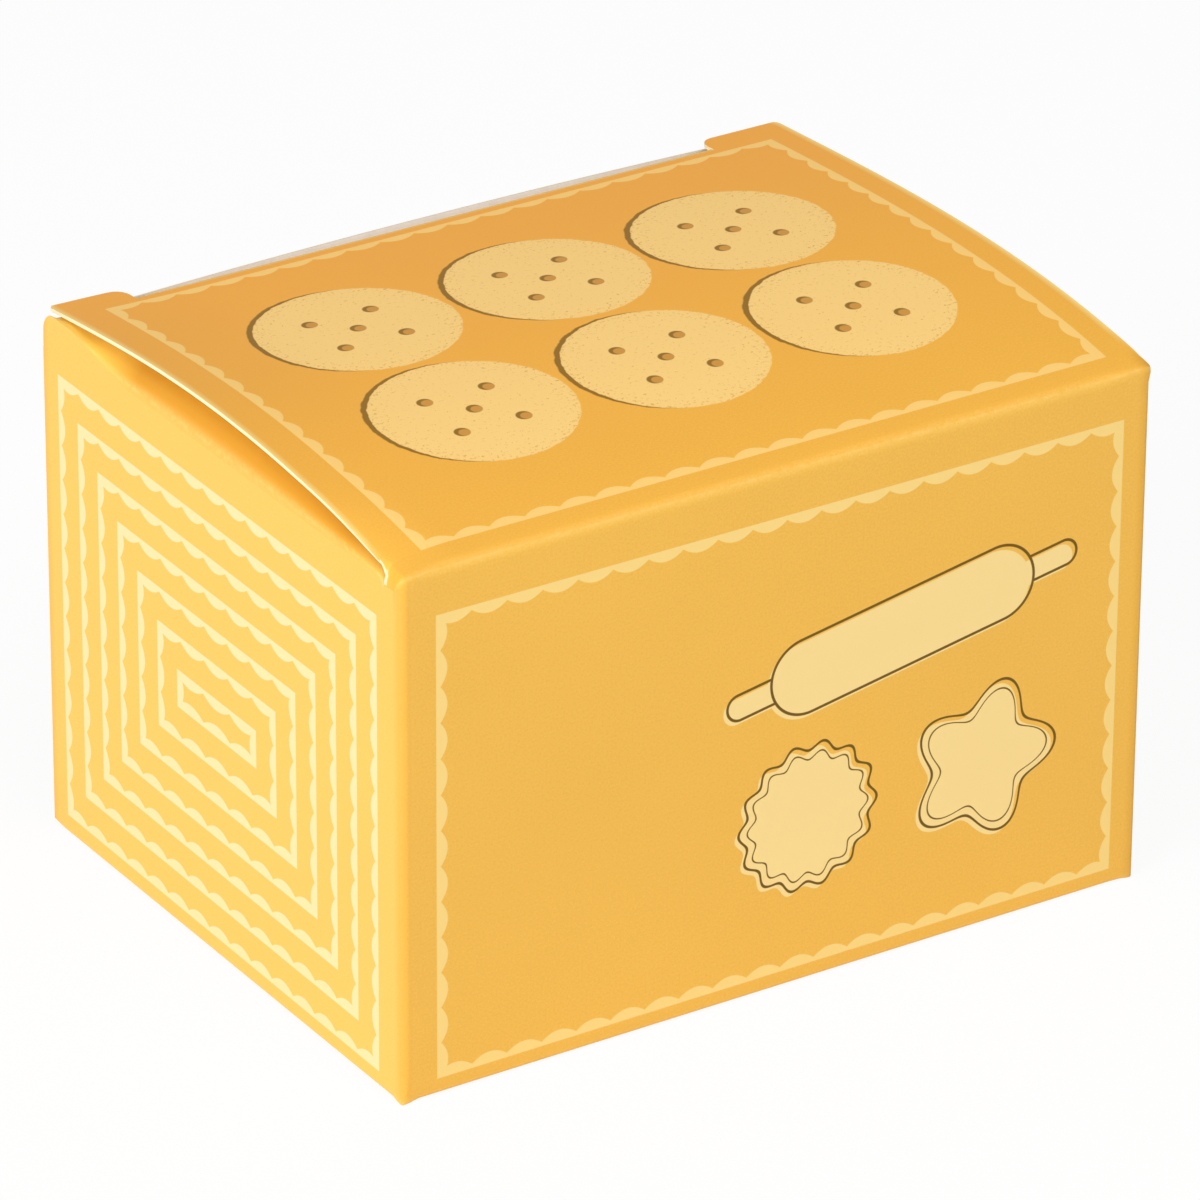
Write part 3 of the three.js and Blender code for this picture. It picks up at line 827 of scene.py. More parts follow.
def lid_top(x, behind):
    """Height of the shut lid's printed face, at a distance along the front and a distance behind it.

    The left edge comes down to where its cut ends, close behind the front, and stands up a little further
    back. It sags by its droop, but no further than onto the wall.
    """
    sizes = bpy.context.scene.carton_sizes
    from_left = x + HALF_LENGTH
    past_tip = behind - np.minimum(behind, SLIT_END)
    rise = lid_rise(behind)
    on_wall, least_droop = 0.1, 0.001
    droop = sizes.lid_droop / MM * fade(past_tip, 15.0) ** 1.5
    sag = (np.maximum(droop, least_droop) ** -4.0 + (rise + on_wall) ** -4.0) ** -0.25
    plunge = (TIP_DROP - on_wall) * fade(past_tip, 1.4) ** 2
    bend = fade(from_left, sizes.front_left_fold / MM)
    bend = np.where(past_tip > HAIR, bend ** 2, 1.0 - np.sqrt(1.0 - bend ** 2))
    lift = sizes.lid_lift / MM * np.sin(math.pi * climb(behind, 18.0, 52.0))
    left = lift * fade(from_left, 14.0) ** 1.4 - sag * fade(from_left, 7.0) ** 2 - plunge * bend
    shoulder = 0.15 * fade(behind, 3.0) * fade(HALF_LENGTH - x, 1.0) ** 2
    return HEIGHT + rise + left - shoulder


def wall_path(radius, near_radius):
    """The walls from above, in the sheet's order: places, outward directions and places along the sheet."""
    left, right = -HALF_LENGTH, HALF_LENGTH
    front, back = -HALF_DEPTH, HALF_DEPTH
    tab_x = right - TAB_BEND
    back_start = SHEET_START + 2 * TAB_BEND
    beside_bend = 0.01
    panel_steps, corner_steps = 29, 8
    path = []

    def panel(start, end, outward, first, last, cuts=()):
        for share in np.sort(np.concatenate([eased(0.0, 1.0, panel_steps), cuts])):
            x = start[0] + (end[0] - start[0]) * share
            y = start[1] + (end[1] - start[1]) * share
            path.append((x, y, *outward, first + (last - first) * share))

    def corner(middle, bend, facing, first, last):
        for share in np.linspace(0.0, 1.0, corner_steps)[1:-1]:
            angle = facing + QUARTER * share
            outward = (math.cos(angle), math.sin(angle))
            x = middle[0] + bend * outward[0]
            y = middle[1] + bend * outward[1]
            path.append((x, y, *outward, first + (last - first) * share))

    path.append((tab_x, back - TAB_BEND, 1.0, 0.0, SHEET_START))
    corner((tab_x - TAB_BEND, back - TAB_BEND), TAB_BEND, 0.0, SHEET_START, back_start)
    panel((tab_x - TAB_BEND, back), (left + radius, back), (0.0, 1.0), back_start, -BACK_CREASE - radius)
    corner((left + radius, back - radius), radius, QUARTER, -BACK_CREASE - radius, -BACK_CREASE + radius)

    cut_end = SLIT_END - near_radius
    left_run = 2 * HALF_DEPTH - radius - near_radius
    left_cuts = 1.0 - np.array([beside_bend, cut_end, cut_end + CUT_WIDTH]) / left_run
    left_start, left_last = -BACK_CREASE + radius, left - near_radius
    panel((left, back - radius), (left, front + near_radius), (-1.0, 0.0), left_start, left_last, left_cuts)
    near_middle = (left + near_radius, front + near_radius)
    corner(near_middle, near_radius, 2 * QUARTER, left_last, left + near_radius)

    front_start, front_last = left + near_radius, right - radius
    panel((front_start, front), (front_last, front), (0.0, -1.0), front_start, front_last)
    corner((right - radius, front + radius), radius, 3 * QUARTER, front_last, right + radius)

    right_run = 2 * HALF_DEPTH - radius - BACK_GAP
    right_cuts = (SLIT_END - radius + np.array([0.0, CUT_WIDTH])) / right_run
    right_start, right_last = right + radius, BACK_CREASE - BACK_GAP
    panel((right, front + radius), (right, back - BACK_GAP), (1.0, 0.0), right_start, right_last, right_cuts)
    path = np.array(path)
    return path[:, :2], path[:, 2:4], path[:, 4]


def wall_tops(place, panel, from_crease, bowed, near_radius):
    """Height of the walls' top edge: crowned along the back, and elsewhere where the next sheet starts."""
    corner_drop, corner_run = 2.2, 7.0
    lid_gap, tip_lap = 0.45, 0.1
    least_crown, crown_gain = 1.3, 0.48
    crown = least_crown + crown_gain * bowed ** 0.8
    back_top = HEIGHT - corner_drop + crown * np.sqrt(1.0 - fade(from_crease, corner_run) ** 2)
    top = np.choose(panel, [back_top, END_SEAM, FRONT_SEAM, END_SEAM])
    behind = place[:, 1] + HALF_DEPTH
    before_cut = behind < SLIT_END + HAIR
    on_left_end = (place[:, 0] < TINY - HALF_LENGTH) & (behind > near_radius + HAIR / 2)
    under_lid = lid_top(HALF_LENGTH, behind) - lid_gap
    top = np.where(before_cut & (place[:, 0] < 0.0), FRONT_SEAM, top)
    top = np.where(before_cut & on_left_end, HEIGHT - TIP_DROP + tip_lap, top)
    return np.where(before_cut & (panel == RIGHT_END), under_lid, top)


class CARTON_OT_walls(bpy.types.Operator):
    """Fold the four printed walls round the carton, with their folds along the base"""

    bl_idname = "carton.make_walls"
    bl_label = "Walls"

    def execute(self, context):
        sizes = context.scene.carton_sizes
        near_radius = sizes.front_left_fold / MM
        corner_base_fold = 0.12
        corner_flange, flange_gain = 0.08, 1.7
        corner_pinch, pinch_height = 0.6, 2.4
        fold_squeeze = 0.8
        curl_share = 0.05
        wall_shares = (0.02, 0.06, 0.13, 0.25, 0.4, 0.55, 0.7, 0.82, 0.92, 0.96, 0.975, 0.99, 1.0)
        place, outward, along = wall_path(sizes.corner_fold / MM, near_radius)
        from_creases = np.abs(along[:, None] - CREASES)
        from_crease = from_creases.min(axis=1)
        panel = np.searchsorted(CREASES[1:4], along)
        bowed = np.sin(math.pi * climb(along, SHEET_START, 2 * HALF_LENGTH)).clip(0.0)
        top = wall_tops(place, panel, from_crease, bowed, near_radius)
        on_back = np.where(panel == BACK, bowed, 0.0)
        bow = sizes.back_bow / MM * on_back
        curl = sizes.back_curl / MM * np.sqrt(on_back)

        full = smooth(from_crease, 0.3, 1.7)
        crease_level = CREASE_LEVELS[from_creases.argmin(axis=1)]
        level = crease_level + (PANEL_LEVELS[panel] - crease_level) * full
        fold = corner_base_fold + (sizes.base_fold / MM - corner_base_fold) * full
        flange = corner_flange + flange_gain * full
        rows = [(fold + flange, level), (fold + flange * 0.5, level)]
        for angle in np.linspace(0.0, QUARTER, 8):
            rows.append((fold * (1.0 - math.sin(angle)), level + fold * (1.0 - math.cos(angle))))
        base_rows = len(rows) - 1
        for share in wall_shares:
            curled = curl * fade(1.0 - share, curl_share) ** 2
            rows.append((-bow * share ** 2 - curled, level + fold + (top - level - fold) * share))

        on_near_bend = np.abs(along + HALF_LENGTH) < near_radius - TINY
        near_corner = np.array([-HALF_LENGTH, -HALF_DEPTH])
        to_corner = np.where(on_near_bend[:, None], near_corner - place, 0.0)
        grid = []
        sheet = []
        for inward, height in rows:
            pinch = corner_pinch * fade(height, pinch_height) ** 2
            grid.append(raised(place + to_corner * pinch[:, None] - outward * inward[:, None], height))
            sheet.append(np.column_stack([along, height - inward.clip(0.0)]))

        def printed_side(row, column):
            return int(np.searchsorted(CREASES[1:4], (along[column] + along[column + 1]) / 2))

        def is_board(row, column):
            return row >= base_rows or along[column] > SHEET_START + 2 * TAB_BEND - TINY

        def meets_next_sheet(point):
            return point[2] > FRONT_SEAM - 1.0 and point[1] < HALF_DEPTH - 1.0

        squeezed = np.full((len(rows), len(along)), fold * fold_squeeze)
        squeezed[base_rows + 1:] = sizes.board / MM
        piece = board_piece(
            "carton_walls", grid, sheet, WALL_PRINTS, is_board, printed_side, meets_next_sheet, squeezed
        )
        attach(piece, "carton")
        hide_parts("front_panel", "back_panel", "left_end_panel", "right_end_panel")
        return {"FINISHED"}


class CARTON_OT_lid(bpy.types.Operator):
    """Lay the arched lid over its crease, with an ear at each back corner"""

    bl_idname = "carton.make_lid"
    bl_label = "Lid"

    def crease_rows(self, x, rounding):
        """Rows over the crease: distance behind the front, height, and height on the unfolded sheet."""
        slope_run = 0.4
        crease_drop, full_rise, droop_share = 1.0, 0.5, 0.4
        right_tight, left_tight = 2.5, 1.0
        wall_steps, bend_steps = 4, 11
        high = lid_top(x, CREASE_END)
        low = HEIGHT - crease_drop - droop_share * (HEIGHT + full_rise - high).clip(0.0)
        slope = (lid_top(x, CREASE_END + slope_run) - high) / slope_run
        control = high - slope.clip(0.0) * CREASE_END
        tight = 1.0 + right_tight * smooth(x, 36.0, 6.0) + left_tight * smooth(-x, 38.0, 3.0)
        rows = []
        for share in np.linspace(0.0, 1.0, wall_steps)[:-1]:
            height = FRONT_SEAM + (low - FRONT_SEAM) * share
            rows.append((rounding, height, height))
        for share in np.linspace(0.0, 1.0, bend_steps)[:-1]:
            first, middle, last = (1 - share) ** 2, 2 * tight * share * (1 - share), share ** 2
            total = first + middle + last
            behind = (rounding * first + rounding * middle + CREASE_END * last) / total
            height = (low * first + control * middle + high * last) / total
            rows.append((behind, height, low + (HEIGHT + CREASE_END - low) * share))
        return rows

    def execute(self, context):
        sizes = context.scene.carton_sizes
        near_fold = sizes.front_left_fold / MM
        left_ear, right_ear = -33.9, 32.6
        turned_from, rounded_from, ear_end = 64.2, 65.2, 66.0
        ear_rows = (63.6, turned_from, 64.7, rounded_from, 65.6, 65.85, ear_end)
        past_cut_rows = (0.03, 0.15, 0.35, 0.65, 1.05, 1.6, 2.4)
        printed_crease_rows = 5
        crushed_edge = 0.35
        inset_lost, ear_rounding, ear_turned_in = 0.31, 0.6, 1.5
        x = np.concatenate([
            -HALF_LENGTH + near_fold * (1.0 - np.cos(np.linspace(0.0, QUARTER, 9))),
            np.linspace(near_fold - HALF_LENGTH, left_ear, 10)[1:],
            eased(left_ear, right_ear, 21)[1:],
            eased(right_ear, HALF_LENGTH, 13)[1:],
        ])
        on_left = x < 0.0
        from_left = x + HALF_LENGTH
        from_right = HALF_LENGTH - x
        fold = np.where(on_left, near_fold, sizes.corner_fold / MM)
        from_side = np.clip(np.abs(x) - (HALF_LENGTH - fold), 0.0, fold * np.where(on_left, 1.0, 0.98))
        rows = self.crease_rows(x, fold - np.sqrt(fold ** 2 - from_side ** 2))
        lid_from = len(rows)
        lid_rows = [*np.linspace(CREASE_END, SLIT_END, 5), *(SLIT_END + past for past in past_cut_rows)]
        lid_rows += [*np.linspace(6.2, LID_BACK, 27), *ear_rows]
        for row in lid_rows:
            rows.append((np.full(len(x), row), lid_top(x, row), np.full(len(x), HEIGHT + row)))
        ears_from = len(rows) - 1 - len(ear_rows)
        behind, height, unfolded = np.array(rows).transpose(1, 0, 2)

        share = behind / (2 * HALF_DEPTH)
        cut_free = behind > SLIT_END + HAIR
        inset = cut_free * (LID_INSET - inset_lost * share) * fade(from_left, 1.4)
        flare = sizes.lid_flare / MM * fade(behind, 2.5) ** 2 * fade(from_right, 1.5)
        flare = flare * climb(height, HEIGHT - 1.6, 1.2)
        to_middle = np.where(on_left, 1.0, -1.0)
        past_round = np.clip(behind - rounded_from, 0.0, None)
        rounded = ear_rounding * past_round ** 2 * fade(np.minimum(from_left, from_right), 2.0)
        to_ear = np.where(on_left, x - left_ear, right_ear - x)
        ear_turn = climb(behind, turned_from, ear_end - turned_from)
        turned = ear_turned_in * (1.0 - np.sqrt(1.0 - ear_turn ** 2)) * fade(-to_ear, 4.0) * (to_ear < TINY)
        across = x + sizes.lid_skew / MM * share + inset + flare + (rounded - turned) * to_middle
        slant = sizes.lid_slant / MM * share * (x / (2 * HALF_LENGTH) + 0.5)
        grid = np.stack([across, behind - HALF_DEPTH - slant, height], axis=2)

        bent = np.arccos(fade(from_left, near_fold)) / QUARTER
        round_corner = np.where(bent < 1.0, near_fold * (2.0 * bent - 1.0) - HALF_LENGTH, x)
        on_wall = fade(np.arange(len(rows)), lid_from)[:, None]
        sheet = np.stack([x + (round_corner - x) * on_wall, unfolded], axis=2)

        def is_board(row, column):
            middle = (x[column] + x[column + 1]) / 2
            return row < ears_from or middle < left_ear or middle > right_ear

        def printed_side(row, column):
            if row >= lid_from - printed_crease_rows:
                return 1
            return 2 if round_corner[column + 1] < HAIR - HALF_LENGTH else 0

        def meets_walls(point):
            return point[1] < SLIT_END - HALF_DEPTH and point[0] < 0.0 or point[2] < FRONT_SEAM + HAIR

        uncrushed = (sizes.board / MM - crushed_edge) * climb(from_left, 0.0, 1.5)
        thickness = np.broadcast_to(crushed_edge + uncrushed, behind.shape)
        prints = ("print_front", "print_lid", "print_flap")
        piece = board_piece(
            "lid_sheet", grid, sheet, prints, is_board, printed_side, meets_walls, thickness
        )
        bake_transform(piece)
        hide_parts("lid_panel")
        return {"FINISHED"}


class CARTON_OT_tuck_flap(bpy.types.Operator):
    """Fold the lid's tuck flap down behind the back panel"""

    bl_idname = "carton.make_tuck_flap"
    bl_label = "Tuck flap"

    def execute(self, context):
        sizes = context.scene.carton_sizes
        bend = 1.6
        first_angle, last_angle = math.radians(4.4), math.radians(98.0)
        half_length, reach, corner = 32.4, 12.6, 4.0
        start_y = LID_BACK - HALF_DEPTH
        start_z = float(lid_top(0.0, LID_BACK))
        skew = sizes.lid_skew / MM
        slant = sizes.lid_slant / MM * LID_BACK / (2 * HALF_DEPTH)
        rows = []
        for angle in np.linspace(first_angle, last_angle, 12):
            y = start_y + bend * (math.sin(angle) - math.sin(first_angle))
            z = start_z - bend * (math.cos(first_angle) - math.cos(angle))
            rows.append((y, z, bend * (angle - first_angle), half_length))
        bend_y, bend_z, bend_run, _ = rows[-1]
        straight = np.linspace(0.0, reach - corner, 6)[1:]
        rounded = reach - corner * np.cos(np.linspace(0.0, 1.5, 9))[1:]
        for down in [*straight, *rounded]:
            into_corner = max(0.0, down - (reach - corner))
            half = half_length - corner + math.sqrt(corner ** 2 - into_corner ** 2)
            y = bend_y + down * math.cos(last_angle)
            z = bend_z - down * math.sin(last_angle)
            rows.append((y, z, bend_run + down, half))
        grid = []
        sheet = []
        for y, z, run, half in rows:
            x = half * eased(-1.0, 1.0, 31)
            slanted = y - slant * (x / (2 * HALF_LENGTH) + 0.5)
            grid.append(raised(np.column_stack([x + skew, slanted]), z))
            sheet.append(np.column_stack([x, np.full(len(x), HEIGHT + LID_BACK + run)]))
        piece = board_piece("tuck_sheet", grid, sheet, ["print_plain"])
        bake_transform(piece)
        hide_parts("lid_tuck_flap")
        return {"FINISHED"}


class CARTON_OT_dust_flaps(bpy.types.Operator):
    """Fold a dust flap in from the top of each end panel, sprung up a little beside its fold"""

    bl_idname = "carton.make_dust_flaps"
    bl_label = "Dust flaps"
    fold_reach = 3.0

    def flap_rows(self, back_end):
        """Rows from the end panel over the fold to the flap's tip.

        Each gives its distance inward, how far it is up the panel and over the fold, and its two ends.
        """
        corner = 1.7
        wall_rise = HEIGHT + 0.2 - END_SEAM
        front_end = SLIT_END - HALF_DEPTH + CUT_WIDTH
        front_taper, back_taper = 3.5, 0.5
        tip, tip_front, tip_back = 24.0, -19.0, 25.5
        rows = []
        for risen in (0.0, 0.3, 0.55, 0.65, 0.75, 0.85, 0.93, 0.98):
            into_corner = max(0.0, 1.0 - (1.0 - risen) * wall_rise / corner)
            rounded = corner * (1.0 - math.sqrt(1.0 - into_corner ** 2))
            rows.append((0.0, risen, 0.0, front_end, back_end - rounded))
        for turn in np.linspace(0.0, QUARTER, 12):
            over = 1.0 - math.cos(turn)
            front = front_end + front_taper * (turn / 1.57) ** 2
            back = back_end - corner - back_taper * over
            rows.append((self.fold_reach * over, 1.0, math.sin(turn), front, back))
        root_front, root_back = rows[-1][3:]
        for share in np.linspace(0.0, 1.0, 16)[1:]:
            inward = self.fold_reach + (tip - self.fold_reach) * share
            front = root_front + (tip_front - root_front) * share
            back = root_back + (tip_back - root_back) * share
            rows.append((inward, 1.0, 1.0, front, back))
        return rows

    def flap_heights(self, sizes, side, inward, risen, lift, y):
        """Heights along one row: up to the fold, then over its sprung hump, and clear of the shut lid."""
        flap_level, settle, clearance = 54.7, 9.0, 0.14
        fold_drop, fold_gap = 1.1, 0.3
        back_rise, back_gain, edge_gain = 1.9, 0.32, 0.25
        least_hump, edge_slope = 0.35, 0.2
        spring = sizes.flap_spring / MM
        under_board = sizes.board / MM + clearance
        lid_under = lid_top(side * (HALF_LENGTH - inward), y + HALF_DEPTH) - under_board
        edge_under = lid_top(side * HALF_LENGTH, y + HALF_DEPTH) - under_board
        near_back = smooth(y, 16.0, 12.0)
        hump = np.sin(math.pi * climb(y, -31.0, 62.0)) ** 0.7
        settled = 1.0 - smooth(inward, self.fold_reach, settle)
        beside_lid = edge_gain * near_back * fade(inward, 0.5) if side < 0 else 0.0
        fold_limit = lid_under - fold_gap + back_gain * near_back + beside_lid
        fold_start = np.minimum(HEIGHT - fold_drop + back_rise * near_back, fold_limit)
        peak = flap_level + spring * np.maximum(hump, least_hump * near_back) * settled
        peak = np.minimum(np.minimum(peak, lid_under), edge_under + edge_slope * inward)
        peak = np.maximum(peak, fold_start)
        z = END_SEAM + (fold_start - END_SEAM) * risen + (peak - fold_start) * lift
        return np.minimum(z, lid_under + beside_lid)

    def execute(self, context):
        sizes = context.scene.carton_sizes
        fold_crush = 0.28
        share = eased(0.0, 1.0, 33)
        middle = len(share) // 2
        for side, name in ((-1, "left"), (1, "right")):
            back_end = HALF_DEPTH - (sizes.corner_fold / MM if side < 0 else BACK_GAP)
            grid = []
            sheet = []
            run = 0.0
            for inward, risen, lift, front, back in self.flap_rows(back_end):
                y = front + (back - front) * share
                z = self.flap_heights(sizes, side, inward, risen, lift, y)
                grid.append(raised(np.column_stack([np.full(len(y), side * (HALF_LENGTH - inward)), y]), z))
                if len(grid) > 1:
                    run += float(np.linalg.norm(grid[-1][middle] - grid[-2][middle]))
                along = side * (END_MIDDLE + y)
                sheet.append(np.column_stack([along, np.full(len(y), END_SEAM + run)]))
            order = slice(None, None, side)
            grid = np.array(grid)[:, order]
            x, y, z = np.moveaxis(grid, 2, 0)
            near_fold = smooth(z, HEIGHT - 1.5, 1.0) * (np.abs(x) > HALF_LENGTH - 1.2)
            squeezed = sizes.board / MM - fold_crush * near_fold * smooth(y, 14.0, 8.0)
            piece = board_piece(
                f"dust_sheet_{name}", grid, np.array(sheet)[:, order], ["print_flap"],
                seam=lambda point: point[2] < END_SEAM + HAIR, crushed=squeezed,
            )
            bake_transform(piece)
            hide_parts(f"lid_dust_flap_{name}")
        return {"FINISHED"}


class CARTON_OT_base(bpy.types.Operator):
    """Close the base with its printed outer panel, and finish the plain flaps glued inside it"""

    bl_idname = "carton.make_base"
    bl_label = "Base"

    def execute(self, context):
        half_length, corner = 40.2, 2.0
        front, back = -31.2, 30.55
        level = 0.02
        rows = []
        for turn in np.linspace(0.0, QUARTER, 7):
            rows.append((front + corner * (1 - math.cos(turn)), half_length - corner * (1 - math.sin(turn))))
        rows += [(y, half_length) for y in np.linspace(front + corner, back, 12)[1:]]
        share = np.linspace(1.0, -1.0, 25)
        grid = [[(half * part, y, level) for part in share] for y, half in rows]
        sheet = [[(half * part, -HALF_DEPTH - y) for part in share] for y, half in rows]
        piece = board_piece("base_sheet", grid, sheet, ["print_plain"])
        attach(piece, "carton")
        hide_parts("base_panel")
        for node in ("glue_tab", "base_inner_panel", "base_flap_left", "base_flap_right"):
            dress_node(node, finish_named("board_inside"))
        return {"FINISHED"}


def fluted_outline(valley):
    """Points and outward directions round the fluted wall: convex lobes joined by small valleys."""
    lobe_radius = 6.2
    lobe_steps, valley_steps = 10, 6
    corner = (29.8, 21.3)
    sides = (
        (-90.0, (-1, -1), (1, -1), 7), (0.0, (1, -1), (1, 1), 5),
        (90.0, (1, 1), (-1, 1), 7), (180.0, (-1, 1), (-1, -1), 5),
    )
    points = []
    normals = []

    def sweep(middle, radius, first, last, steps, out):
        for angle in np.radians(np.linspace(first, last, steps, endpoint=False)):
            spoke = Vector((math.cos(angle), math.sin(angle)))
            points.append(middle + spoke * radius)
            normals.append(spoke * out)

    for facing, first, last, gaps in sides:
        start = Vector((first[0] * corner[0], first[1] * corner[1]))
        end = Vector((last[0] * corner[0], last[1] * corner[1]))
        step = (end - start) / gaps
        lean = math.degrees(math.asin(step.length / 2 / (lobe_radius + valley)))
        height = math.sqrt((lobe_radius + valley) ** 2 - (step.length / 2) ** 2)
        outward = Vector((math.cos(math.radians(facing)), math.sin(math.radians(facing))))
        for gap in range(gaps):
            centre = start + step * gap
            corner_sweep, corner_share = (90.0, 2) if gap == 0 else (0.0, 1)
            sweep_from = facing - corner_sweep - lean
            sweep(centre, lobe_radius, sweep_from, facing + lean, lobe_steps * corner_share, 1)
            hollow = centre + step / 2 + outward * height
            sweep(hollow, valley, facing + lean + 180.0, facing - lean + 180.0, valley_steps, -1)
    return np.array(points), np.array(normals)


class CUTTER_OT_wall(bpy.types.Operator):
    """Roll the fluted cutting wall, with a sharpened lower edge and a beaded rim"""

    bl_idname = "cutter.make_wall"
    bl_label = "Cutting wall"

    def execute(self, context):
        sizes = context.scene.cutter_sizes
        wall = sizes.wall / MM
        bead = 0.8
        low, high = 1.5, 27.5
        lower, upper = 9.0, 18.0
        outline, out = fluted_outline(sizes.flute_valley / MM)
        profile = [(-wall * 0.6, low), (-wall * 0.4, low), (0.0, low + 1.4), (0.0, lower), (0.0, upper)]
        profile += arc((0.0, high - bead), (bead, bead), -QUARTER, QUARTER, 9)
        profile += [(-wall * 0.5, high), (-wall * 0.9, high - 0.12), (-wall, high - 0.4)]
        profile += [(-wall, upper), (-wall, lower), (-wall, low + 1.0)]
        points = np.concatenate([raised(outline + out * offset, height) for offset, height in profile])
        faces = ring_faces(len(profile), len(outline), True)
        piece = add_piece("fluted_wall", points, faces, [finish_named("wall_steel")], smooth_to=40.0)
        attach(piece, "cutter")
        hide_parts("cutter_wall")
        return {"FINISHED"}


class CUTTER_OT_bridge(bpy.types.Operator):
    """Bend the bridge plate, with cut corners, a flange along each long side and a hole for the rod"""

    bl_idname = "cutter.make_bridge"
    bl_label = "Bridge plate"

    def execute(self, context):
        top, thick = PLATE_TOP, 0.8
        bend = 1.2
        half_length, half_width, chamfer = 36.8, 29.4, 8.0
        flange_low, flange_half = 21.4, 22.3
        hole = 2.4
        tuck_step = 0.1
        flat_half = half_width - bend
        side = half_length - chamfer
        end = half_width - chamfer
        bend_low = top - bend
        corner = [(side + 0.6, flat_half + 0.3), (half_length - 0.5, end + 0.5), (half_length, end - 0.6)]
        end_edge = corner + [(half_length, y) for y in np.linspace(end - 3.0, 3.0 - end, 7)]
        end_edge += [(x, -y) for x, y in reversed(corner)]
        long_edge = np.linspace(-side, side, 25)
        outline = []
        for sign in (-1, 1):
            outline += [(-sign * x, sign * flat_half) for x in long_edge]
            outline += [(-sign * x, sign * y) for x, y in end_edge]
        outline = np.array(outline)
        flanged = np.array(([True] * len(long_edge) + [False] * len(end_edge)) * 2)
        spoke = outline / np.linalg.norm(outline, axis=1, keepdims=True)
        facing = np.sign(outline[:, 1])
        rows = []
        for height in np.linspace(flange_low, bend_low, 5):
            reach = flange_half + (side - flange_half) * (height - flange_low) / (bend_low - flange_low)
            rows.append(raised(np.column_stack([outline[:, 0] * reach / side, facing * half_width]), height))
        for angle in np.linspace(0.0, QUARTER, 7)[1:-1]:
            y = facing * (flat_half + bend * math.cos(angle))
            rows.append(raised(np.column_stack([outline[:, 0], y]), bend_low + bend * math.sin(angle)))
        bent = len(rows)
        for index in range(bent):
            level = raised(outline + spoke * tuck_step * (bent - index), top)
            rows[index] = np.where(flanged[:, None], rows[index], level)
        for share in np.linspace(0.0, 1.0, 8) ** 0.8:
            rows.append(raised(outline * (1 - share) + spoke * hole * share, top))
        grid = np.array(rows)

        def is_steel(row, column):
            after = (column + 1) % len(outline)
            return row >= bent or (flanged[column] and flanged[after])

        piece = sheet_piece(
            "bridge_plate_bent", grid, grid[:, :, :2], [finish_named("rolled_steel")], thick,
            keep=is_steel, closed=True,
        )
        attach(piece, "cutter")
        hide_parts("bridge_plate")
        return {"FINISHED"}


class CUTTER_OT_spring(bpy.types.Operator):
    """Wind the coil spring between the bridge plate and the knob"""

    bl_idname = "cutter.make_spring"
    bl_label = "Spring"

    def execute(self, context):
        sizes = context.scene.cutter_sizes
        wire = sizes.wire / MM / 2
        coil = sizes.coil / MM / 2
        clearance = 0.06
        low, high = PLATE_TOP + wire + clearance, KNOB_BASE - wire - clearance
        whole_turn = 2 * math.pi
        pitch = (high - low) / (sizes.turns * whole_turn)
        steps_per_turn, sides = 40, 12
        steps = int(sizes.turns * steps_per_turn)
        even = 0.65
        points = []
        for step in range(steps + 1):
            share = step / steps
            angle = share * sizes.turns * whole_turn
            height = low + (high - low) * (even * share + (1.0 - even) * float(smooth(share, 0.0, 1.0)))
            out = Vector((math.cos(angle), math.sin(angle), 0.0))
            run = Vector((-coil * out.y, coil * out.x, pitch)).normalized()
            lift = run.cross(out)
            middle = out * coil + Vector((0.0, 0.0, height))
            for side in range(sides):
                turn = whole_turn * side / sides
                points.append(middle + out * wire * math.cos(turn) - lift * wire * math.sin(turn))
        faces = ring_faces(steps + 1, sides, False)
        faces.append(tuple(reversed(range(sides))))
        faces.append(tuple(steps * sides + side for side in range(sides)))
        piece = add_piece("coil_spring", points, faces, [finish_named("wire_steel")], smooth_to=50.0)
        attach(piece, "cutter")
        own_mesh(piece)
        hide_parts("ejector_spring")
        return {"FINISHED"}


class CUTTER_OT_knob(bpy.types.Operator):
    """Turn the domed knob, with two grip grooves and a bore for the rod"""

    bl_idname = "cutter.make_knob"
    bl_label = "Knob"

    def execute(self, context):
        radius = context.scene.cutter_sizes.knob / MM / 2
        low, high = KNOB_BASE, 54.2
        bore, bore_lip, bore_end = 2.1, 0.2, low + 8.0
        rounding = 0.8
        groove_radii = (0.35, 0.5)
        dome = 2.4
        shoulder = high - dome
        profile = [(0.0, bore_end), (bore, bore_end), (bore, low + bore_lip), (bore + bore_lip, low)]
        profile += arc((radius - rounding, low + rounding), (rounding, rounding), -QUARTER, 0.0, 6)
        for groove in (low + 4.2, low + 6.4):
            profile += arc((radius, groove), groove_radii, -QUARTER, -3 * QUARTER, 7)
        profile.append((radius, shoulder - 0.5))
        for turn in np.linspace(0.0, QUARTER, 15)[:-1]:
            profile.append((radius * math.cos(turn) ** 0.8, shoulder + dome * math.sin(turn)))
        profile.append((0.0, high))
        piece = turned_piece("turned_knob", profile, finish_named("turned_steel"), steps=96)
        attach(piece, "ejector")
        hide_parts("knob")
        return {"FINISHED"}


# The sharpened lower end that the rod and the docking pins share.
PIN_POINT = [(0.0, 7.5), (0.18, 7.52), (0.8, 9.1)]


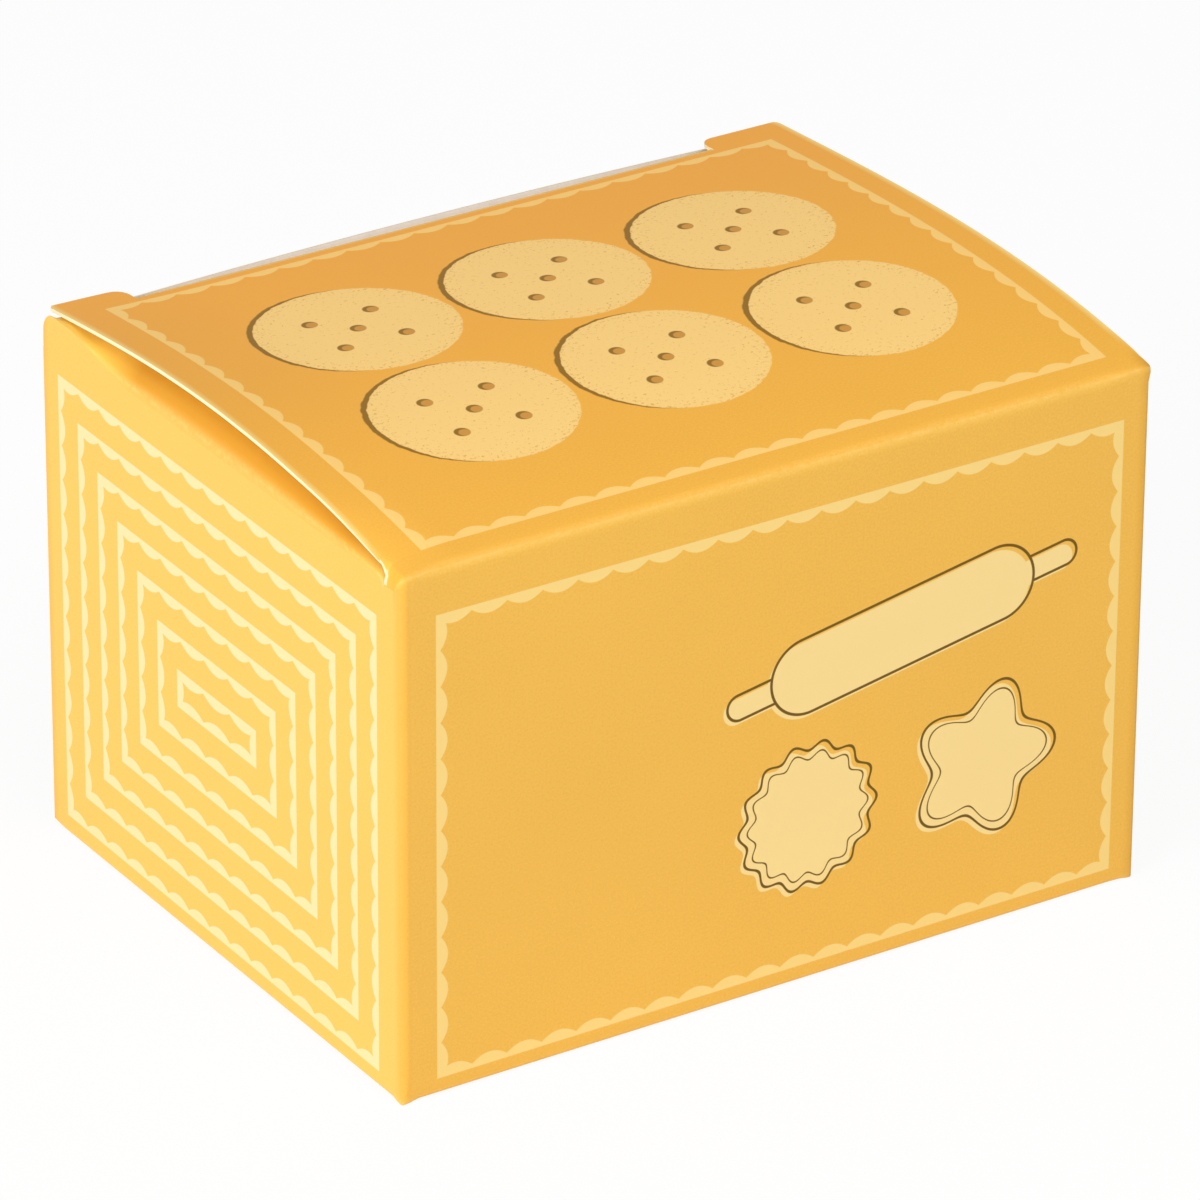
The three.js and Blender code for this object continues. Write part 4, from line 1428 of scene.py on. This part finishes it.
class CUTTER_OT_plunger(bpy.types.Operator):
    """Turn the rod with its pointed spigot, its stop collar and the clip under the ejector plate"""

    bl_idname = "cutter.make_plunger"
    bl_label = "Plunger"

    def execute(self, context):
        rod = [*PIN_POINT, (0.8, 11.85), (0.9, 11.9), (1.8, 11.9), (2.0, 12.1)]
        rod += [(2.0, 20.0), (2.0, 30.0), (2.0, 40.0), (2.0, 48.1), (1.8, 48.3), (0.0, 48.3)]
        collar = ring_profile(bore=2.1, edge=4.3, low=26.3, high=27.5, rounding=0.25)
        clip = ring_profile(bore=0.9, edge=3.3, low=10.4, high=10.9, rounding=0.12)
        pieces = (
            ("turned_rod", "plunger_rod", rod, 48, "turned_steel", "turned_steel"),
            ("stop_collar_turned", "stop_collar", collar, 64, "turned_steel", "turned_steel"),
            ("ejector_clip_turned", "ejector_clip", clip, 64, "wire_steel", "spring_steel"),
        )
        for name, node, profile, steps, finish, slot in pieces:
            piece = turned_piece(name, profile, finish_named(finish), steps=steps)
            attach(piece, "ejector")
            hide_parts(node)
        return {"FINISHED"}


class CUTTER_OT_pins(bpy.types.Operator):
    """Rivet the six docking pins into the ejector plate, and finish the plate"""

    bl_idname = "cutter.make_pins"
    bl_label = "Docking pins"

    def execute(self, context):
        head = arc((0.0, 12.0), (1.7, 0.8), 0.0, 1.45, 7)
        profile = [*PIN_POINT, (0.8, 11.9), (1.6, 11.9), *head, (0.0, 12.8)]
        for index in range(1, 7):
            node = f"docking_pin_{index}"
            low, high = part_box(node)
            centre = ((low.x + high.x) / 2 / MM, (low.y + high.y) / 2 / MM)
            piece = turned_piece(f"riveted_pin_{index}", profile, finish_named("turned_steel"), 32, centre)
            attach(piece, "ejector")
            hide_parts(node)
        dress_node("ejector_plate", finish_named("rolled_steel"))
        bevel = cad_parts["ejector_plate"].modifiers.new("eased_edges", "BEVEL")
        bevel.width = 0.00012
        bevel.segments = 2
        bevel.limit_method = "ANGLE"
        return {"FINISHED"}


class STAGE_OT_studio(bpy.types.Operator):
    """Set the pale floor, the soft lamps and the camera"""

    bl_idname = "stage.make_studio"
    bl_label = "Studio"

    def execute(self, context):
        scene = context.scene
        looks = scene.stage_looks
        self.lay_floor(looks)
        self.light_room(scene, looks)
        key_side, front_side = Vector((-0.93, -0.25, 0.36)), Vector((-0.05, -0.5, 0.86))
        self.hang_lamp("key_lamp", key_side, distance=1.6, width=1.0, strength=looks.key)
        self.hang_lamp("front_lamp", front_side, distance=0.55, width=0.36, strength=looks.front)
        self.place_camera(scene)
        scene.view_settings.view_transform = "Standard"
        return {"FINISHED"}

    def shown_white(self, finish, kind, lit, share):
        """A lit shader, mixed with white for what the camera sees, straight or in metal and glass."""
        path = finish.node("ShaderNodeLightPath", {}, {}, "Is Camera Ray")
        seen = path.most(path.out("Is Glossy Ray")).most(path.out("Is Transmission Ray"))
        white = finish.node(kind, {}, {"Color": (1.0, 1.0, 1.0), "Strength": 1.0})
        return finish.node("ShaderNodeMixShader", {}, {0: seen * share, 1: lit, 2: white})

    def lay_floor(self, looks):
        half = 3000.0
        corners = [(-half, -half, 0.0), (half, -half, 0.0), (half, half, 0.0), (-half, half, 0.0)]
        finish = Finish(bpy.data.materials.new("studio_floor"))
        paper = finish.node("ShaderNodeBsdfDiffuse", {}, {"Color": looks.floor})
        mixed = self.shown_white(finish, "ShaderNodeEmission", paper, 0.92)
        finish.node("ShaderNodeOutputMaterial", {}, {"Surface": mixed})
        add_piece("studio_floor", corners, [(0, 1, 2, 3)], [finish.owner])

    def light_room(self, scene, looks):
        scene.world = bpy.data.worlds.new("studio_room")
        room = Finish(scene.world)
        light = room.node("ShaderNodeBackground", {}, {"Color": (1.0, 1.0, 1.0), "Strength": looks.fill})
        mixed = self.shown_white(room, "ShaderNodeBackground", light, 1.0)
        room.node("ShaderNodeOutputWorld", {}, {"Surface": mixed})

    def hang_lamp(self, name, towards, distance, width, strength):
        """A square soft lamp that gives a facing white surface this much light."""
        lamp = bpy.data.lights.new(name, "AREA")
        lamp.size = width
        lamp.energy = strength * math.pi ** 2 * distance ** 2
        holder = bpy.data.objects.new(name, lamp)
        holder.location = towards.normalized() * distance + Vector((0.0, 0.0, 0.028))
        holder.rotation_euler = towards.to_track_quat("Z", "Y").to_euler()
        bpy.context.scene.collection.objects.link(holder)

    def place_camera(self, scene):
        azimuth, elevation, roll = (math.radians(angle) for angle in (-32.765, 27.113, 0.348))
        aim = Vector((0.0, 0.0, 27.7))
        distance, aside, below = 894.3, 0.815, 0.072
        level = math.cos(elevation)
        back = Vector((math.sin(azimuth) * level, -math.cos(azimuth) * level, math.sin(elevation)))
        level_right = Vector((math.cos(azimuth), math.sin(azimuth), 0.0))
        level_up = back.cross(level_right)
        right = math.cos(roll) * level_right + math.sin(roll) * level_up
        up = math.cos(roll) * level_up - math.sin(roll) * level_right
        eye = aim + back * distance + right * aside - up * below
        camera = bpy.data.cameras.new("photo_camera")
        camera.lens = 276.0
        camera.sensor_width = 36.0
        camera.clip_start = 0.05
        holder = bpy.data.objects.new("photo_camera", camera)
        turn = Matrix((right, up, back)).transposed().to_4x4()
        holder.matrix_world = Matrix.Translation(eye * MM) @ turn
        scene.collection.objects.link(holder)
        scene.camera = holder


OPERATORS = (
    CARTON_OT_walls, CARTON_OT_lid, CARTON_OT_tuck_flap, CARTON_OT_dust_flaps, CARTON_OT_base,
    CUTTER_OT_wall, CUTTER_OT_bridge, CUTTER_OT_spring, CUTTER_OT_knob, CUTTER_OT_plunger, CUTTER_OT_pins,
    STAGE_OT_studio,
)
SETTINGS = {
    "carton_sizes": CartonSizes,
    "print_sizes": PrintSizes,
    "print_colours": PrintColours,
    "cutter_sizes": CutterSizes,
    "steel_colours": SteelColours,
    "stage_looks": StageLooks,
}


class VIEW3D_PT_boxed_cutter(bpy.types.Panel):
    """The sizes, the colours and the steps that make the boxed cutter"""

    bl_label = "Boxed biscuit cutter"
    bl_space_type = "VIEW_3D"
    bl_region_type = "UI"
    bl_category = "Boxed cutter"

    def draw(self, context):
        for name, group in SETTINGS.items():
            box = self.layout.box()
            box.label(text=group.__doc__)
            values = getattr(context.scene, name)
            for value in group.__annotations__:
                box.prop(values, value)
        for operator in OPERATORS:
            self.layout.operator(operator.bl_idname)


def register():
    for group in SETTINGS.values():
        bpy.utils.register_class(group)
    for name, group in SETTINGS.items():
        setattr(bpy.types.Scene, name, bpy.props.PointerProperty(type=group))
    for operator in OPERATORS:
        bpy.utils.register_class(operator)
    bpy.utils.register_class(VIEW3D_PT_boxed_cutter)


def unregister():
    bpy.utils.unregister_class(VIEW3D_PT_boxed_cutter)
    for operator in reversed(OPERATORS):
        bpy.utils.unregister_class(operator)
    for name in SETTINGS:
        delattr(bpy.types.Scene, name)
    for group in reversed(SETTINGS.values()):
        bpy.utils.unregister_class(group)


def main():
    register()
    for operator in OPERATORS:
        group, action = operator.bl_idname.split(".")
        getattr(getattr(bpy.ops, group), action)()


if __name__ == "__main__":
    main()
